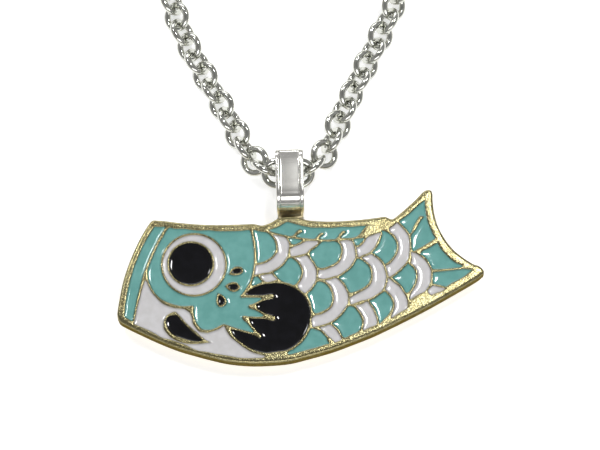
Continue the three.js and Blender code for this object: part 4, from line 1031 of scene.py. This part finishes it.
ring_piece("bail_held_link", "bail_link", (-0.85, 10.25, 2.675), LINK_R, LINK_WIRE, 0, -65, CHAIN, "held_link")
clasp_ring = ring_piece("clasp_jump_ring", "clasp_ring", (COIL[0] - 0.84, COIL[1] - 6.99, 1.45), 1.15, 0.28, 125, 75, CLASP, "clasp_loop")
end_ring = ring_piece("end_jump_ring", "end_ring", (COIL[0] + 0.2, COIL[1] + 7.45, 0.85), 1.95, 0.35, 180, 12, CLASP, "end_loop")
for n in ("clasp_body", "clasp_lever", "clasp_rivet", "clasp_spring"):
    dress(n, CLASP)
    ob = NODES[n]
    bev = ob.modifiers.new("rounded", "BEVEL")
    bev.width = {"clasp_body": 0.00035, "clasp_lever": 0.00018, "clasp_rivet": 0.00008, "clasp_spring": 0.00005}[n]
    bev.segments = 3
    bev.limit_method = "ANGLE"
    bev.angle_limit = math.radians(50)

print("strands", round(len_l, 1), round(len_r, 1), "sum", round(len_l + len_r, 1))

# ------------------------------------------------------------------ floor, light
bpy.ops.mesh.primitive_plane_add(size=3.0, location=(0, 0, 0))
floor = bpy.context.object
floor.name = "table"
m, nt, b = material("pale_table")
b.inputs["Base Color"].default_value = (0.93, 0.93, 0.93, 1)
b.inputs["Roughness"].default_value = 0.75
b.inputs["Emission Color"].default_value = (1, 1, 1, 1)
b.inputs["Emission Strength"].default_value = 0.5
floor.data.materials.append(m)


def area(name, at, aim, sx, sy, radiance, color=(1, 1, 1)):
    L = bpy.data.lights.new(name, "AREA")
    L.shape = "RECTANGLE"
    L.size, L.size_y = sx, sy
    L.energy = radiance * math.pi * sx * sy
    L.color = color
    ob = bpy.data.objects.new(name, L)
    scene.collection.objects.link(ob)
    ob.location = at
    d = Vector(aim) - Vector(at)
    ob.rotation_mode = "QUATERNION"
    ob.rotation_quaternion = d.to_track_quat("-Z", "Y")
    return ob


area("strip_right", (0.068, 0.085, 0.25), (0.0, 0.0, 0.0), 0.019, 0.052, 72.0)
area("box_left", (-0.16, 0.16, 0.27), (0.0, 0.0, 0.0), 0.035, 0.05, 34.0)
area("softbox_front", (0.05, -0.42, 0.34), (0.0, 0.0, 0.0), 0.45, 0.2, 3.5)
area("softbox_back", (-0.1, 0.52, 0.26), (0.0, 0.0, 0.0), 0.5, 0.16, 3.4)

world = bpy.data.worlds.new("studio")
scene.world = world
world.use_nodes = True
wt = world.node_tree
wt.nodes.clear()
wo = wt.nodes.new("ShaderNodeOutputWorld")
bg = wt.nodes.new("ShaderNodeBackground")
tc = wt.nodes.new("ShaderNodeTexCoord")
sep = wt.nodes.new("ShaderNodeSeparateXYZ")
wt.links.new(tc.outputs["Generated"], sep.inputs[0])
rp = wt.nodes.new("ShaderNodeValToRGB")
rp.color_ramp.elements.new(0.5)
for e, (pos, c) in zip(rp.color_ramp.elements, [(0.0, 0.12), (0.55, 0.42), (1.0, 0.20)]):
    e.position = pos
    e.color = (c, c, c, 1)
wt.links.new(sep.outputs["Z"], rp.inputs["Fac"])
wt.links.new(rp.outputs["Color"], bg.inputs["Color"])
bg.inputs["Strength"].default_value = 1.0
wt.links.new(bg.outputs[0], wo.inputs[0])
